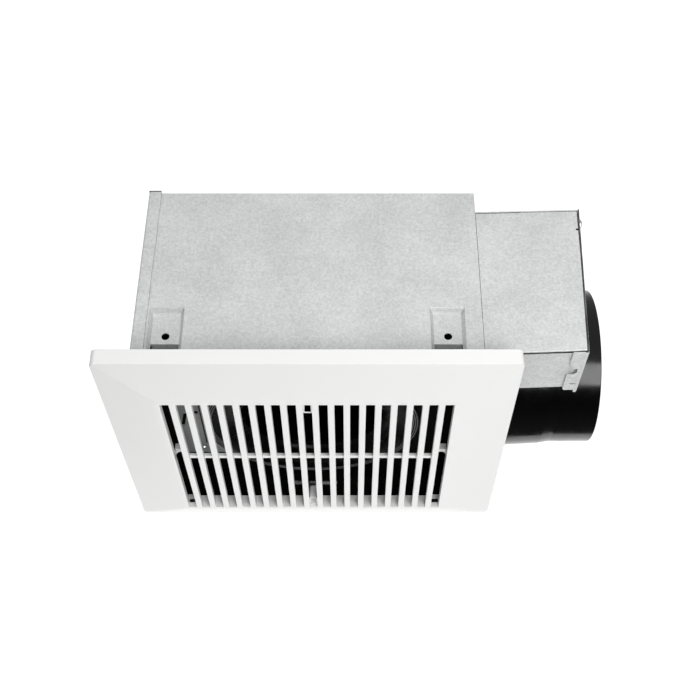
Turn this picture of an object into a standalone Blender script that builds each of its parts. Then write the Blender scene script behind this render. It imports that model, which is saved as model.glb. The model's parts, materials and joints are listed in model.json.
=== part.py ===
"""A ceiling extractor fan for a bathroom, as separate pieces.

The origin is the middle of the ceiling opening: Z = 0 is the underside of the ceiling, where the
grille's rim lies, +Z is up into the roof space and +X is towards the duct collar. Sizes are in
millimetres, and MM turns them into Blender's metres where a mesh is made.
"""

import math

import bmesh
import bpy
from mathutils import Matrix, Vector

MM = 0.001
GAP = 0.3
RUNNING_GAP = 0.08
SHEET = 1.0

# The housing, a galvanised box that is open at the bottom.
HOUSING_LEFT = -151.8
HOUSING_X = 149.5
HOUSING_Y = 124.0
HOUSING_TOP = 185.6
HOUSING_BOTTOM = 0.5
CAP_FLANGE = 11.7
CAP_SHEET = 0.6
PANEL_FLANGE = 10.0
LEDGE_REACH = 3.0
POCKET_PLACES = {"left": -123.1, "right": 119.5}
POCKET_WIDTH = 30.4
POCKET_TOP = 59.6
POCKET_BOTTOM = 8.0
POCKET_DEPTH = 5.0
POCKET_SIDE_SLOPE = 3.2
POCKET_TOP_SLOPE = 3.4
POCKET_HOLE_RADIUS = 3.5
POCKET_HOLE_Z = 32.6
POCKET_SLOT_TOP = 24.6
POCKET_LEDGE = 5.4
POCKET_SLOT_BOTTOM = 11.0

# The duct collar, for a duct of 150 mm.
DUCT_Y = 32.0
DUCT_Z = 92.0
DUCT_BORE = 72.5
DUCT_OUTSIDE = 75.0
COLLAR_BASE = 77.6
COLLAR_STEP_X = 222.0
COLLAR_END_X = 270.0
COLLAR_FLANGE = 84.0
COLLAR_FLANGE_THICKNESS = 2.5
COLLAR_SCREW_CIRCLE = 80.8
STOP_LIP_X = 183.0
STOP_LIP_RADIUS = 62.0
STOP_LIP_THICKNESS = 3.0
DAMPER_X = 187.7
DAMPER_THICKNESS = 1.8
DAMPER_RADIUS = 66.0
DAMPER_PIN_X = 191.6
DAMPER_PIN_Z = DUCT_Z + 52.0
DAMPER_PIN_HALF = 54.2
DAMPER_PIN_RADIUS = 1.85
DAMPER_BORE_RADIUS = 1.95

# The wiring box, whose outer end leans out.
WIRING_LOW = ((149.8, 12.7), (236.9, 16.1))
WIRING_HIGH = ((149.8, 163.4), (243.2, 166.0))
WIRING_FRONT = -HOUSING_Y
WIRING_DEPTH = 63.5
WIRING_LEAN = math.atan2(WIRING_HIGH[1][0] - WIRING_LOW[1][0], WIRING_HIGH[1][1] - WIRING_LOW[1][1])
TAB_Z = 12.9
TAB_LEFT = 224.5
RECEPTACLE_Y = -92.0
RECEPTACLE_Z = 120.0
SOCKET_HALF_Y = 14.5
SOCKET_HALF_Z = 11.5
KNOCKOUT_X = 192.0
COVER_SCREW_Y = -117.5
COVER_SCREW_Z = 154.0
COVER_SCREW_RUN = (-math.cos(WIRING_LEAN), 0, math.sin(WIRING_LEAN))
GROUND_SCREW_Y = -94.0
GROUND_SCREW_Z = 25.5
RELIEF_HOLE_Z = 143.5

# The grille.
GRILLE_WIDTH = 355.6
GRILLE_DEPTH = 304.8
GRILLE_CORNER = 7.0
RIM_HEIGHT = 13.7
FACE_DROP = 28.0
FACE_WIDTH = 258.0
FACE_DEPTH = 224.0
GRILLE_WALL = 2.2
SLAT_DEPTH = 4.5
END_WALL_TOP = -15.0
END_WALL_THICK = 2.0
BRIDGE_TOP = -11.0
FIELD_WIDTH = 249.6
FIELD_DEPTH = 214.0
SLOT_COUNT = 19
SLOT_WIDTH = 7.7
FIELD_MIDDLE = -1.5
RIB_FRONT = -2.0
BOSS_NEAR = 91.0
SPRING_Y = 116.0
SPRING_PEG_Z = -8.0
SPRING_PEG_RADIUS = 3.0

# The blower: scroll, inlet ring and impeller.
BLOWER_RIGHT = HOUSING_X - 2 * GAP - SHEET
DECK_Z = 11.0
DECK_THICKNESS = 2.0
DECK_Y = 117.3
DECK_NOTCH_Y = 109.0
DECK_NOTCH_HALF = 24.0
DECK_SKIRT_LOW = 1.5
DECK_LEFT = HOUSING_LEFT + CAP_SHEET + 1.0
BRACKET_LEFT = -126.0
GASKET_LOW = -8.5
GASKET_OUTER = 18.0
GASKET_INNER = 1.8
BRACKET_TOP = DECK_Z - 0.6
LEDGE_Y = 110.0
SCROLL_WALL = 2.0
SCROLL_TOP = 168.0
SCROLL_START_RADIUS = 88.0
SCROLL_END_RADIUS = 109.0
SCROLL_START_ANGLE = math.radians(-35)
SCROLL_END_ANGLE = math.radians(-270)
SCROLL_STEPS = 22
RING_OUTER = 100.0
RING_MOUTH = 92.0
RING_THROAT = 64.0
IMPELLER_INNER = 68.0
IMPELLER_OUTER = 82.0
IMPELLER_BOTTOM = 25.0
IMPELLER_TOP = 151.0
BLADE_COUNT = 26
BLADE_THICKNESS = 2.0

# The motor.
SHAFT_RADIUS = 4.0
SHAFT_BORE = SHAFT_RADIUS + RUNNING_GAP
CAN_RADIUS = 40.0
CAN_BOTTOM = 118.0
CAN_SPLIT = 164.0
CAN_TOP = 182.0
MOTOR_SCREW_CIRCLE = 49.0
MOUNT_PLATE_RADIUS = 68.0

SCREW_RADIUS = 1.8
SCREW_HOLE = 2.1

ROUND_STEPS = 48
SMALL_STEPS = 12


def metres(point):
    """A point given in millimetres, as a vector in metres."""
    return Vector(point) * MM


def clear_scene():
    for obj in list(bpy.data.objects):
        bpy.data.objects.remove(obj)


def new_collection(name):
    collection = bpy.data.collections.new(name)
    bpy.context.scene.collection.children.link(collection)
    return collection


clear_scene()
PARTS = new_collection("extractor_fan")
CUTTERS = new_collection("cutters")
CUTTERS.hide_render = True


def finish(name, colour, roughness, metallic=0.0):
    """A material with the given base colour, roughness and metallic value."""
    material = bpy.data.materials.new(name)
    material.use_nodes = True
    shader = material.node_tree.nodes["Principled BSDF"]
    shader.inputs["Base Color"].default_value = (*colour, 1.0)
    shader.inputs["Roughness"].default_value = roughness
    shader.inputs["Metallic"].default_value = metallic
    material.diffuse_color = (*colour, 1.0)
    return material


GALVANISED = finish("galvanised_steel", (0.64, 0.65, 0.65), 0.42, 1.0)
STEEL = finish("bright_steel", (0.72, 0.72, 0.73), 0.28, 1.0)
SPRING_STEEL = finish("spring_steel", (0.45, 0.45, 0.46), 0.35, 1.0)
BLACK = finish("black_plastic", (0.012, 0.012, 0.013), 0.25)
WHITE = finish("white_plastic", (0.86, 0.86, 0.85), 0.4)
MOTOR_PAINT = finish("motor_paint", (0.03, 0.03, 0.035), 0.45)
LAMINATION = finish("laminated_iron", (0.33, 0.33, 0.35), 0.5, 1.0)
COPPER = finish("copper_wire", (0.72, 0.34, 0.18), 0.35, 1.0)
BRONZE = finish("sintered_bronze", (0.55, 0.38, 0.2), 0.5, 1.0)
RUBBER = finish("black_rubber", (0.02, 0.02, 0.02), 0.85)
FOAM = finish("grey_foam", (0.12, 0.12, 0.12), 0.95)
CAPACITOR_CASE = finish("capacitor_case", (0.5, 0.51, 0.52), 0.4, 1.0)
BLACK_LEAD = finish("black_lead", (0.015, 0.015, 0.015), 0.5)
WHITE_LEAD = finish("white_lead", (0.8, 0.8, 0.78), 0.5)
GREEN_LEAD = finish("green_lead", (0.02, 0.25, 0.07), 0.5)
GREEN_SCREW = finish("green_screw", (0.05, 0.35, 0.12), 0.35, 1.0)


def place(obj, where, parent=None):
    """Puts the object's origin at a point given in millimetres, riding on the parent if there is one."""
    obj.location = metres(where)
    if parent:
        obj.parent = parent
        obj.location -= parent.location


def add(name, mesh, look, where=(0, 0, 0), parent=None):
    """An object of the fan, or a cutter when it has no material."""
    obj = bpy.data.objects.new(name, mesh)
    if look:
        PARTS.objects.link(obj)
        mesh.materials.append(look)
    else:
        CUTTERS.objects.link(obj)
        obj.hide_render = True
        obj.display_type = "WIRE"
    place(obj, where, parent)
    return obj


def mesh_of(name, bm):
    mesh = bpy.data.meshes.new(name)
    bm.to_mesh(mesh)
    bm.free()
    return mesh


def smooth(obj, angle=35.0):
    obj.data.shade_smooth()
    obj.data.set_sharp_from_angle(angle=math.radians(angle))


def block(name, low, high, look=None, parent=None):
    """A box between two corners."""
    size = Vector(high) - Vector(low)
    bm = bmesh.new()
    bmesh.ops.create_cube(bm, size=1.0)
    bmesh.ops.scale(bm, vec=size * MM, verts=bm.verts)
    centre = (Vector(low) + Vector(high)) / 2
    return add(name, mesh_of(name, bm), look, centre, parent)


def rod(name, start, end, radius, look=None, sides=24, parent=None):
    """A cylinder from one point to another."""
    run = Vector(end) - Vector(start)
    bm = bmesh.new()
    bmesh.ops.create_cone(
        bm,
        cap_ends=True,
        segments=sides,
        radius1=radius * MM,
        radius2=radius * MM,
        depth=run.length * MM,
    )
    obj = add(name, mesh_of(name, bm), look, (Vector(start) + Vector(end)) / 2, parent)
    obj.rotation_euler = run.to_track_quat("Z", "Y").to_euler()
    smooth(obj)
    return obj


def turned(name, profile, look, where=(0, 0, 0), along_x=False, closed=True, steps=ROUND_STEPS, parent=None):
    """A turned piece. The profile is (radius, height) points, down the outer side and up the inner one."""
    bm = bmesh.new()
    points = [bm.verts.new(metres((radius, 0, height))) for radius, height in profile]
    ends = zip(points, points[1:] + points[:1]) if closed else zip(points, points[1:])
    for first, second in ends:
        bm.edges.new((first, second))
    obj = add(name, mesh_of(name, bm), look, where, parent)
    screw = obj.modifiers.new("turn", "SCREW")
    screw.steps = steps
    screw.render_steps = steps
    screw.use_merge_vertices = True
    screw.merge_threshold = 0.00001
    if along_x:
        obj.rotation_euler = (0, math.radians(90), 0)
    return obj


def cut(target, *cutters):
    for cutter in cutters:
        modifier = target.modifiers.new("cut", "BOOLEAN")
        modifier.operation = "DIFFERENCE"
        modifier.object = cutter


def join(target, *others):
    for other in others:
        modifier = target.modifiers.new("join", "BOOLEAN")
        modifier.operation = "UNION"
        modifier.object = other


def circle(centre, radius, sides=ROUND_STEPS):
    """The points of a circle in a flat outline."""
    turns = [2 * math.pi * step / sides for step in range(sides)]
    return [(centre[0] + radius * math.cos(turn), centre[1] + radius * math.sin(turn)) for turn in turns]


def rectangle(low, high):
    return [(low[0], low[1]), (high[0], low[1]), (high[0], high[1]), (low[0], high[1])]


def rounded_rectangle(width, depth, corner, steps=4):
    """The points of a rectangle with round corners, centred on the origin, counter-clockwise."""
    points = []
    for index, (side_x, side_y) in enumerate(((1, 1), (-1, 1), (-1, -1), (1, -1))):
        centre = (side_x * (width / 2 - corner), side_y * (depth / 2 - corner))
        for step in range(steps + 1):
            angle = math.pi / 2 * (index + step / steps)
            points.append((centre[0] + corner * math.cos(angle), centre[1] + corner * math.sin(angle)))
    return points


def flat(name, outlines, low, high, look=None, facing="Z", parent=None):
    """A flat outline with its holes, as a solid between two heights along Z, or along Y or X."""
    curve = bpy.data.curves.new(name, "CURVE")
    curve.dimensions = "2D"
    curve.fill_mode = "BOTH"
    curve.extrude = (high - low) / 2 * MM
    for outline in outlines:
        spline = curve.splines.new("POLY")
        spline.points.add(len(outline) - 1)
        for point, (x, y) in zip(spline.points, outline):
            point.co = (x * MM, y * MM, 0, 1)
        spline.use_cyclic_u = True
    drawn = bpy.data.objects.new(name + "_outline", curve)
    bpy.context.scene.collection.objects.link(drawn)
    graph = bpy.context.evaluated_depsgraph_get()
    mesh = bpy.data.meshes.new_from_object(drawn.evaluated_get(graph))
    bpy.data.objects.remove(drawn)
    bm = bmesh.new()
    bm.from_mesh(mesh)
    bmesh.ops.remove_doubles(bm, verts=bm.verts, dist=0.000001)
    turn = {
        "Z": Matrix.Identity(4),
        "Y": Matrix.Rotation(math.radians(90), 4, "X"),
        "X": Matrix(((0, 0, 1, 0), (1, 0, 0, 0), (0, 1, 0, 0), (0, 0, 0, 1))),
    }[facing]
    middle = (low + high) / 2
    offset = {"Z": (0, 0, middle), "Y": (0, middle, 0), "X": (middle, 0, 0)}[facing]
    bmesh.ops.transform(bm, matrix=turn, verts=bm.verts)
    bmesh.ops.recalc_face_normals(bm, faces=bm.faces)
    bpy.data.meshes.remove(mesh)
    return add(name, mesh_of(name, bm), look, offset, parent)


def loft(name, sections, look=None, parent=None):
    """A solid through level outlines that all have as many points: (height, outline) from top to bottom."""
    bm = bmesh.new()
    rings = [[bm.verts.new(metres((x, y, height))) for x, y in outline] for height, outline in sections]
    for upper, lower in zip(rings, rings[1:]):
        for index in range(len(upper)):
            after = (index + 1) % len(upper)
            bm.faces.new((upper[index], lower[index], lower[after], upper[after]))
    bm.faces.new(rings[0])
    bm.faces.new(list(reversed(rings[-1])))
    bmesh.ops.recalc_face_normals(bm, faces=bm.faces)
    return add(name, mesh_of(name, bm), look, (0, 0, 0), parent)


def smooth_route(points, steps):
    """Points on a Catmull-Rom curve through the given ones."""
    route = [Vector(point) for point in points]
    route = [route[0] * 2 - route[1]] + route + [route[-1] * 2 - route[-2]]
    found = []
    for before, start, end, after in zip(route, route[1:], route[2:], route[3:]):
        for step in range(steps):
            t = step / steps
            found.append(
                0.5
                * (
                    2 * start
                    + (end - before) * t
                    + (2 * before - 5 * start + 4 * end - after) * t * t
                    + (3 * start - before - 3 * end + after) * t * t * t
                )
            )
    found.append(route[-2])
    return found


def wire(name, points, radius, look, parent=None):
    """A round wire through the given points, with closed ends."""
    curve = bpy.data.curves.new(name, "CURVE")
    curve.dimensions = "3D"
    curve.bevel_depth = radius * MM
    curve.bevel_resolution = 2
    curve.use_fill_caps = True
    spline = curve.splines.new("POLY")
    spline.points.add(len(points) - 1)
    for point, place_of in zip(spline.points, points):
        point.co = (*metres(place_of), 1)
    obj = bpy.data.objects.new(name, curve)
    PARTS.objects.link(obj)
    curve.materials.append(look)
    place(obj, (0, 0, 0), parent)
    return obj


def axis_empty(name, where):
    """An empty that carries a moving piece and stands on its joint's axis."""
    empty = bpy.data.objects.new(name, None)
    PARTS.objects.link(empty)
    empty.location = metres(where)
    return empty


def screw_hole(target, name, seat, direction, reach=8.0):
    """A clearance hole for a screw with the given seat and direction."""
    run = Vector(direction).normalized() * reach
    cut(target, rod(name, Vector(seat) - run / 2, Vector(seat) + run, SCREW_HOLE, sides=SMALL_STEPS))


def screw_fastener(name, seat, direction, length, look=STEEL, head_radius=3.6):
    """A pan-head screw: its head stands on the seat, and its shank runs along the direction."""
    head = 2.4
    profile = [
        (0, head),
        (head_radius * 0.7, head * 0.9),
        (head_radius, head * 0.35),
        (head_radius, 0),
        (SCREW_RADIUS, 0),
        (SCREW_RADIUS, -length),
        (0, -length),
    ]
    obj = turned(name, profile, look, seat, closed=False, steps=SMALL_STEPS)
    obj.rotation_euler = (-Vector(direction)).to_track_quat("Z", "Y").to_euler()


# ---------------------------------------------------------------- housing


def pocket_shape(name, middle, side_y, depth, grow):
    """A tapered block for one mounting pocket, wide at the wall's face, or grown to be its shell."""
    half = POCKET_WIDTH / 2 + grow
    top = POCKET_TOP + grow
    bottom = POCKET_BOTTOM - grow
    outside = [(middle - half, bottom), (middle + half, bottom), (middle + half, top), (middle - half, top)]
    slope = POCKET_SIDE_SLOPE
    inside = [
        (middle - half + slope, bottom),
        (middle + half - slope, bottom),
        (middle + half - slope, top - POCKET_TOP_SLOPE),
        (middle - half + slope, top - POCKET_TOP_SLOPE),
    ]
    face = side_y * HOUSING_Y
    floor = face - side_y * depth
    bm = bmesh.new()
    near_y = face if grow else face + side_y * 0.5
    near = [bm.verts.new(metres((x, near_y, z))) for x, z in outside]
    far = [bm.verts.new(metres((x, floor, z))) for x, z in inside]
    for index in range(4):
        after = (index + 1) % 4
        bm.faces.new((near[index], near[after], far[after], far[index]))
    bm.faces.new(near)
    bm.faces.new(list(reversed(far)))
    bmesh.ops.recalc_face_normals(bm, faces=bm.faces)
    return add(name, mesh_of(name, bm), None)


def make_housing_wrapper():
    """The front, top and back of the housing: one bent sheet, with four mounting pockets low down."""
    wall = HOUSING_Y - SHEET
    outline = [
        (-HOUSING_Y, HOUSING_BOTTOM),
        (-wall, HOUSING_BOTTOM),
        (-wall, HOUSING_TOP - SHEET),
        (wall, HOUSING_TOP - SHEET),
        (wall, HOUSING_BOTTOM),
        (HOUSING_Y, HOUSING_BOTTOM),
        (HOUSING_Y, HOUSING_TOP),
        (-HOUSING_Y, HOUSING_TOP),
    ]
    left = HOUSING_LEFT + CAP_SHEET + GAP
    wrapper = flat("housing_wrapper", [outline], left, HOUSING_X, GALVANISED, facing="X")
    for word, middle in POCKET_PLACES.items():
        for side_y in (-1, 1):
            corner = f"{word}_{side_y}"
            shell = pocket_shape("pocket_shell_" + corner, middle, side_y, POCKET_DEPTH + SHEET, SHEET)
            hollow = pocket_shape("pocket_hollow_" + corner, middle, side_y, POCKET_DEPTH, 0)
            inner = side_y * (HOUSING_Y - POCKET_DEPTH - 3)
            outer = side_y * (HOUSING_Y + 1)
            hole = rod(
                "pocket_hole_" + corner,
                (middle, inner, POCKET_HOLE_Z),
                (middle, outer, POCKET_HOLE_Z),
                POCKET_HOLE_RADIUS,
            )
            half = POCKET_WIDTH / 2 - POCKET_SIDE_SLOPE - 0.2
            slot = block(
                "pocket_slot_" + corner,
                (middle - half, min(inner, outer), POCKET_SLOT_BOTTOM),
                (middle + half, max(inner, outer), POCKET_SLOT_TOP),
            )
            join(wrapper, shell)
            cut(wrapper, hollow, hole, slot)
            floor = HOUSING_Y - POCKET_DEPTH - SHEET / 2
            near, far = sorted((side_y * floor, side_y * (floor - POCKET_LEDGE)))
            ledge = block(
                "pocket_ledge_" + corner,
                (middle - half, near, POCKET_SLOT_TOP),
                (middle + half, far, POCKET_SLOT_TOP + SHEET),
            )
            join(wrapper, ledge)


def make_housing_end_left():
    """The left end cap, whose flanges lap over the outside of the front, top and back."""
    outer_y = HOUSING_Y + GAP + SHEET
    outer_top = HOUSING_TOP + GAP + SHEET
    cap = block(
        "housing_end_left",
        (HOUSING_LEFT, -outer_y, HOUSING_BOTTOM),
        (HOUSING_LEFT + CAP_FLANGE, outer_y, outer_top),
        GALVANISED,
    )
    hollow = block(
        "end_left_hollow",
        (HOUSING_LEFT + CAP_SHEET, -HOUSING_Y - GAP, HOUSING_BOTTOM - 5),
        (HOUSING_LEFT + CAP_FLANGE + 5, HOUSING_Y + GAP, HOUSING_TOP + GAP),
    )
    cut(cap, hollow)


def make_housing_end_right():
    """The right end panel, inside the wrapper, with the duct outlet, the socket hole and a ledge."""
    half = HOUSING_Y - SHEET - GAP
    top = HOUSING_TOP - SHEET - GAP
    flange_x = HOUSING_X - PANEL_FLANGE
    inner_x = HOUSING_X - GAP - SHEET
    panel = block(
        "housing_end_right",
        (flange_x, -half, HOUSING_BOTTOM),
        (HOUSING_X - GAP, half, top),
        GALVANISED,
    )
    hollow = block(
        "end_right_hollow",
        (flange_x - 5, -half + SHEET, HOUSING_BOTTOM - 5),
        (inner_x, half - SHEET, top - SHEET),
    )
    ledge = block(
        "end_right_ledge",
        (flange_x - LEDGE_REACH, -LEDGE_Y, BRACKET_TOP - SHEET),
        (inner_x + SHEET / 2, LEDGE_Y, BRACKET_TOP),
    )
    cut(panel, hollow)
    for side_y in (-1, 1):
        near, far = sorted((side_y * (half - 8), side_y * (half + 1)))
        room = block(
            f"end_right_pocket_room_{side_y}",
            (flange_x - 5, near, HOUSING_BOTTOM - 1),
            (inner_x - 0.2, far, POCKET_TOP + 6),
        )
        cut(panel, room)
    outlet = rod(
        "outlet_hole",
        (HOUSING_X - 12, DUCT_Y, DUCT_Z),
        (HOUSING_X + 2, DUCT_Y, DUCT_Z),
        DUCT_BORE + 1,
        sides=ROUND_STEPS,
    )
    join(panel, ledge)
    cut(panel, outlet, socket_cutter("panel_socket_hole"))
    for name, (y, z) in collar_screw_places().items():
        screw_hole(panel, "panel_hole_" + name, (HOUSING_X, y, z), (-1, 0, 0))
    screw_hole(panel, "panel_ground_hole", (HOUSING_X, GROUND_SCREW_Y, GROUND_SCREW_Z), (-1, 0, 0))
    for name, seat in deck_screw_seats("right").items():
        screw_hole(panel, "ledge_hole_" + name, seat, (0, 0, 1))


def socket_cutter(name):
    """The hole for the motor's socket, through the end panel and the wiring box's base."""
    return block(
        name,
        (HOUSING_X - 3, RECEPTACLE_Y - SOCKET_HALF_Y, RECEPTACLE_Z - SOCKET_HALF_Z),
        (HOUSING_X + 3, RECEPTACLE_Y + SOCKET_HALF_Y, RECEPTACLE_Z + SOCKET_HALF_Z),
    )


def make_spring_bracket(name, side):
    """A galvanised angle on the housing's inside wall, with the slot that the spring's legs pass through."""
    half = 22.0
    low = 4.0
    wall = HOUSING_Y - SHEET - GAP
    near, far = sorted((side * (SPRING_Y - 6.7), side * wall))
    plate = block(name, (-half, near, low), (half, far, low + SHEET), GALVANISED)
    near, far = sorted((side * (wall - SHEET), side * wall))
    upright = block(name + "_upright", (-half, near, low), (half, far, low + 18))
    near, far = sorted((side * (SPRING_Y - 2.9), side * (SPRING_Y + 2.9)))
    slot = block(name + "_slot", (6 - half, near, low - 2), (half - 6, far, low + 3))
    join(plate, upright)
    cut(plate, slot)


def make_ceiling_gasket():
    """The soft black frame under the housing's lower edge, which seals the hole in the ceiling."""
    frames = []
    for reach in (GASKET_OUTER, -GASKET_INNER):
        half_y = HOUSING_Y + reach
        frames.append(rectangle((HOUSING_LEFT - reach, -half_y), (HOUSING_X + reach, half_y)))
    flat("ceiling_gasket", frames, GASKET_LOW, HOUSING_BOTTOM - GAP, RUBBER)


# ---------------------------------------------------------------- duct collar and damper


def make_duct_collar():
    """The black collar that the duct slides over, with a flange, a step and a stop inside for the damper."""
    base = HOUSING_X + GAP
    flange_face = base + COLLAR_FLANGE_THICKNESS
    profile = [
        (DUCT_OUTSIDE - 0.4, COLLAR_END_X),
        (DUCT_OUTSIDE, COLLAR_END_X - 0.6),
        (DUCT_OUTSIDE, COLLAR_STEP_X + 3),
        (COLLAR_BASE - 0.6, COLLAR_STEP_X),
        (COLLAR_BASE, flange_face),
        (COLLAR_FLANGE, flange_face),
        (COLLAR_FLANGE, base),
        (DUCT_BORE, base),
        (DUCT_BORE, STOP_LIP_X),
        (STOP_LIP_RADIUS, STOP_LIP_X),
        (STOP_LIP_RADIUS, STOP_LIP_X + STOP_LIP_THICKNESS),
        (DUCT_BORE, STOP_LIP_X + STOP_LIP_THICKNESS),
        (DUCT_BORE, COLLAR_END_X),
    ]
    collar = turned("duct_collar", profile, BLACK, (0, DUCT_Y, DUCT_Z), along_x=True)
    cut(collar, damper_rod("pin_bore", DAMPER_PIN_HALF + 0.4, DAMPER_BORE_RADIUS))
    for name, (y, z) in collar_screw_places().items():
        screw_hole(collar, "collar_hole_" + name, (flange_face, y, z), (-1, 0, 0))


def collar_screw_places():
    """Where the four flange screws go: each one's name and its (y, z)."""
    places = {}
    for index in range(4):
        turn = math.radians(45 + 90 * index)
        y = DUCT_Y + COLLAR_SCREW_CIRCLE * math.cos(turn)
        z = DUCT_Z + COLLAR_SCREW_CIRCLE * math.sin(turn)
        places[f"collar_screw_{index + 1}"] = (y, z)
    return places


def damper_rod(name, half, radius, look=None, sides=SMALL_STEPS):
    """A rod on the damper's axis, as long each side of the duct's middle as the given half length."""
    start = (DAMPER_PIN_X, DUCT_Y - half, DAMPER_PIN_Z)
    end = (DAMPER_PIN_X, DUCT_Y + half, DAMPER_PIN_Z)
    return rod(name, start, end, radius, look, sides)


def make_damper(axis):
    """The flap that falls shut against the seal, and its pin and seal."""
    rise = DAMPER_PIN_Z - DUCT_Z - 0.5
    edge = math.asin(rise / DAMPER_RADIUS)
    start = math.pi - edge
    sweep = math.pi + 2 * edge
    steps = 36
    outline = []
    for step in range(steps + 1):
        turn = start + sweep * step / steps
        outline.append((DUCT_Y + DAMPER_RADIUS * math.cos(turn), DUCT_Z + DAMPER_RADIUS * math.sin(turn)))
    face = DAMPER_X + DAMPER_THICKNESS
    flap = flat("damper_flap", [outline], DAMPER_X, face, BLACK, facing="X", parent=axis)
    join(flap, damper_rod("damper_knuckle", 38, 3.4, sides=16))
    cut(flap, damper_rod("damper_bore", 50, DAMPER_BORE_RADIUS))
    damper_rod("damper_pin", DAMPER_PIN_HALF, DAMPER_PIN_RADIUS, STEEL)
    low = STOP_LIP_X + STOP_LIP_THICKNESS + GAP
    high = DAMPER_X - GAP
    seal = [(68.5, high), (68.5, low), (STOP_LIP_RADIUS + 0.6, low), (STOP_LIP_RADIUS + 0.6, high)]
    turned("damper_seal", seal, FOAM, (0, DUCT_Y, DUCT_Z), along_x=True, steps=32)


# ---------------------------------------------------------------- wiring box


def wiring_outline(inset, open_end):
    """The box's outline seen from the front, as (x, z), drawn in by the sheet's thickness."""
    (low_left, low_right), (high_left, high_right) = WIRING_LOW, WIRING_HIGH
    reach = 4 if open_end else 0
    return [
        (low_left[0] + inset, low_left[1] + inset),
        (low_right[0] + reach, low_right[1] + inset),
        (high_right[0] + reach, high_right[1] - inset),
        (high_left[0] + inset, high_left[1] - inset),
    ]


def make_wiring_box():
    """The galvanised box for the supply wires: open at its outer end, with a socket hole in its base."""
    back = WIRING_FRONT + WIRING_DEPTH
    box = flat("wiring_box", [wiring_outline(0, False)], WIRING_FRONT, back, GALVANISED, facing="Y")
    inside = [wiring_outline(SHEET, True)]
    hollow = flat("wiring_hollow", inside, WIRING_FRONT + SHEET, back - SHEET, facing="Y")
    ear = block(
        "cover_screw_ear",
        (240.6, WIRING_FRONT + SHEET / 2, COVER_SCREW_Z - 7),
        (241.8, COVER_SCREW_Y + 6.5, COVER_SCREW_Z + 6.5),
    )
    knockout = rod("knockout_hole", (KNOCKOUT_X, RECEPTACLE_Y, 158), (KNOCKOUT_X, RECEPTACLE_Y, 172), 11.4)
    relief_x = WIRING_HIGH[1][0] - 2.5
    relief = rod(
        "relief_hole",
        (relief_x, WIRING_FRONT - 2, RELIEF_HOLE_Z),
        (relief_x, WIRING_FRONT + 2.5, RELIEF_HOLE_Z),
        1.3,
        sides=SMALL_STEPS,
    )
    cut(box, hollow, socket_cutter("wiring_socket_hole"), knockout, relief)
    join(box, ear)
    screw_hole(box, "ear_hole", cover_screw_seat(), COVER_SCREW_RUN)
    screw_hole(box, "base_ground_hole", (HOUSING_X + 2, GROUND_SCREW_Y, GROUND_SCREW_Z), (-1, 0, 0))


def cover_screw_seat():
    """Where the cover's screw sits, on the leaning outer face of the cover."""
    lean_x = (COVER_SCREW_Z - WIRING_LOW[1][1]) * math.tan(WIRING_LEAN)
    return (WIRING_LOW[1][0] + lean_x + GAP + SHEET + 0.5, COVER_SCREW_Y, COVER_SCREW_Z)


def make_wiring_box_cover():
    """The cover over the box's outer end, with the hook-shaped tab that laps under the box."""
    back = WIRING_FRONT + WIRING_DEPTH
    low_right, high_right = WIRING_LOW[1], WIRING_HIGH[1]
    low = (low_right[0] + GAP, TAB_Z)
    high = (high_right[0] + GAP + 0.1, high_right[1])
    outline = [low, (low[0] + SHEET, low[1]), (high[0] + SHEET, high[1]), high]
    cover = flat("wiring_box_cover", [outline], WIRING_FRONT - 0.6, back, GALVANISED, facing="Y")
    tab_outline = hook_outline(TAB_LEFT, low[0] + SHEET / 2, WIRING_FRONT - 0.2)
    join(cover, flat("cover_tab", [tab_outline], TAB_Z, TAB_Z + SHEET))
    screw_hole(cover, "cover_hole", cover_screw_seat(), COVER_SCREW_RUN)


def hook_outline(left, right, front):
    """The tab seen from above: full width, a hooked notch from its inner side, then full width again."""
    neck = left + 6.5
    hook = [(neck + 1.2, front + 20), (neck + 2.8, front + 23), (neck, front + 29), (neck - 0.8, front + 34)]
    return [
        (right, front),
        (right, front + 68),
        (left + 2, front + 68),
        (left, front + 66),
        (left, front + 40),
        (left + 1.5, front + 38),
        *reversed(hook),
        (left, front + 19),
        (left, front + 2),
        (left + 2, front),
    ]


# ---------------------------------------------------------------- grille


def slot_centres():
    pitch = (FIELD_WIDTH - SLOT_WIDTH) / (SLOT_COUNT - 1)
    return [FIELD_MIDDLE + pitch * (index - (SLOT_COUNT - 1) / 2) for index in range(SLOT_COUNT)]


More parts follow.
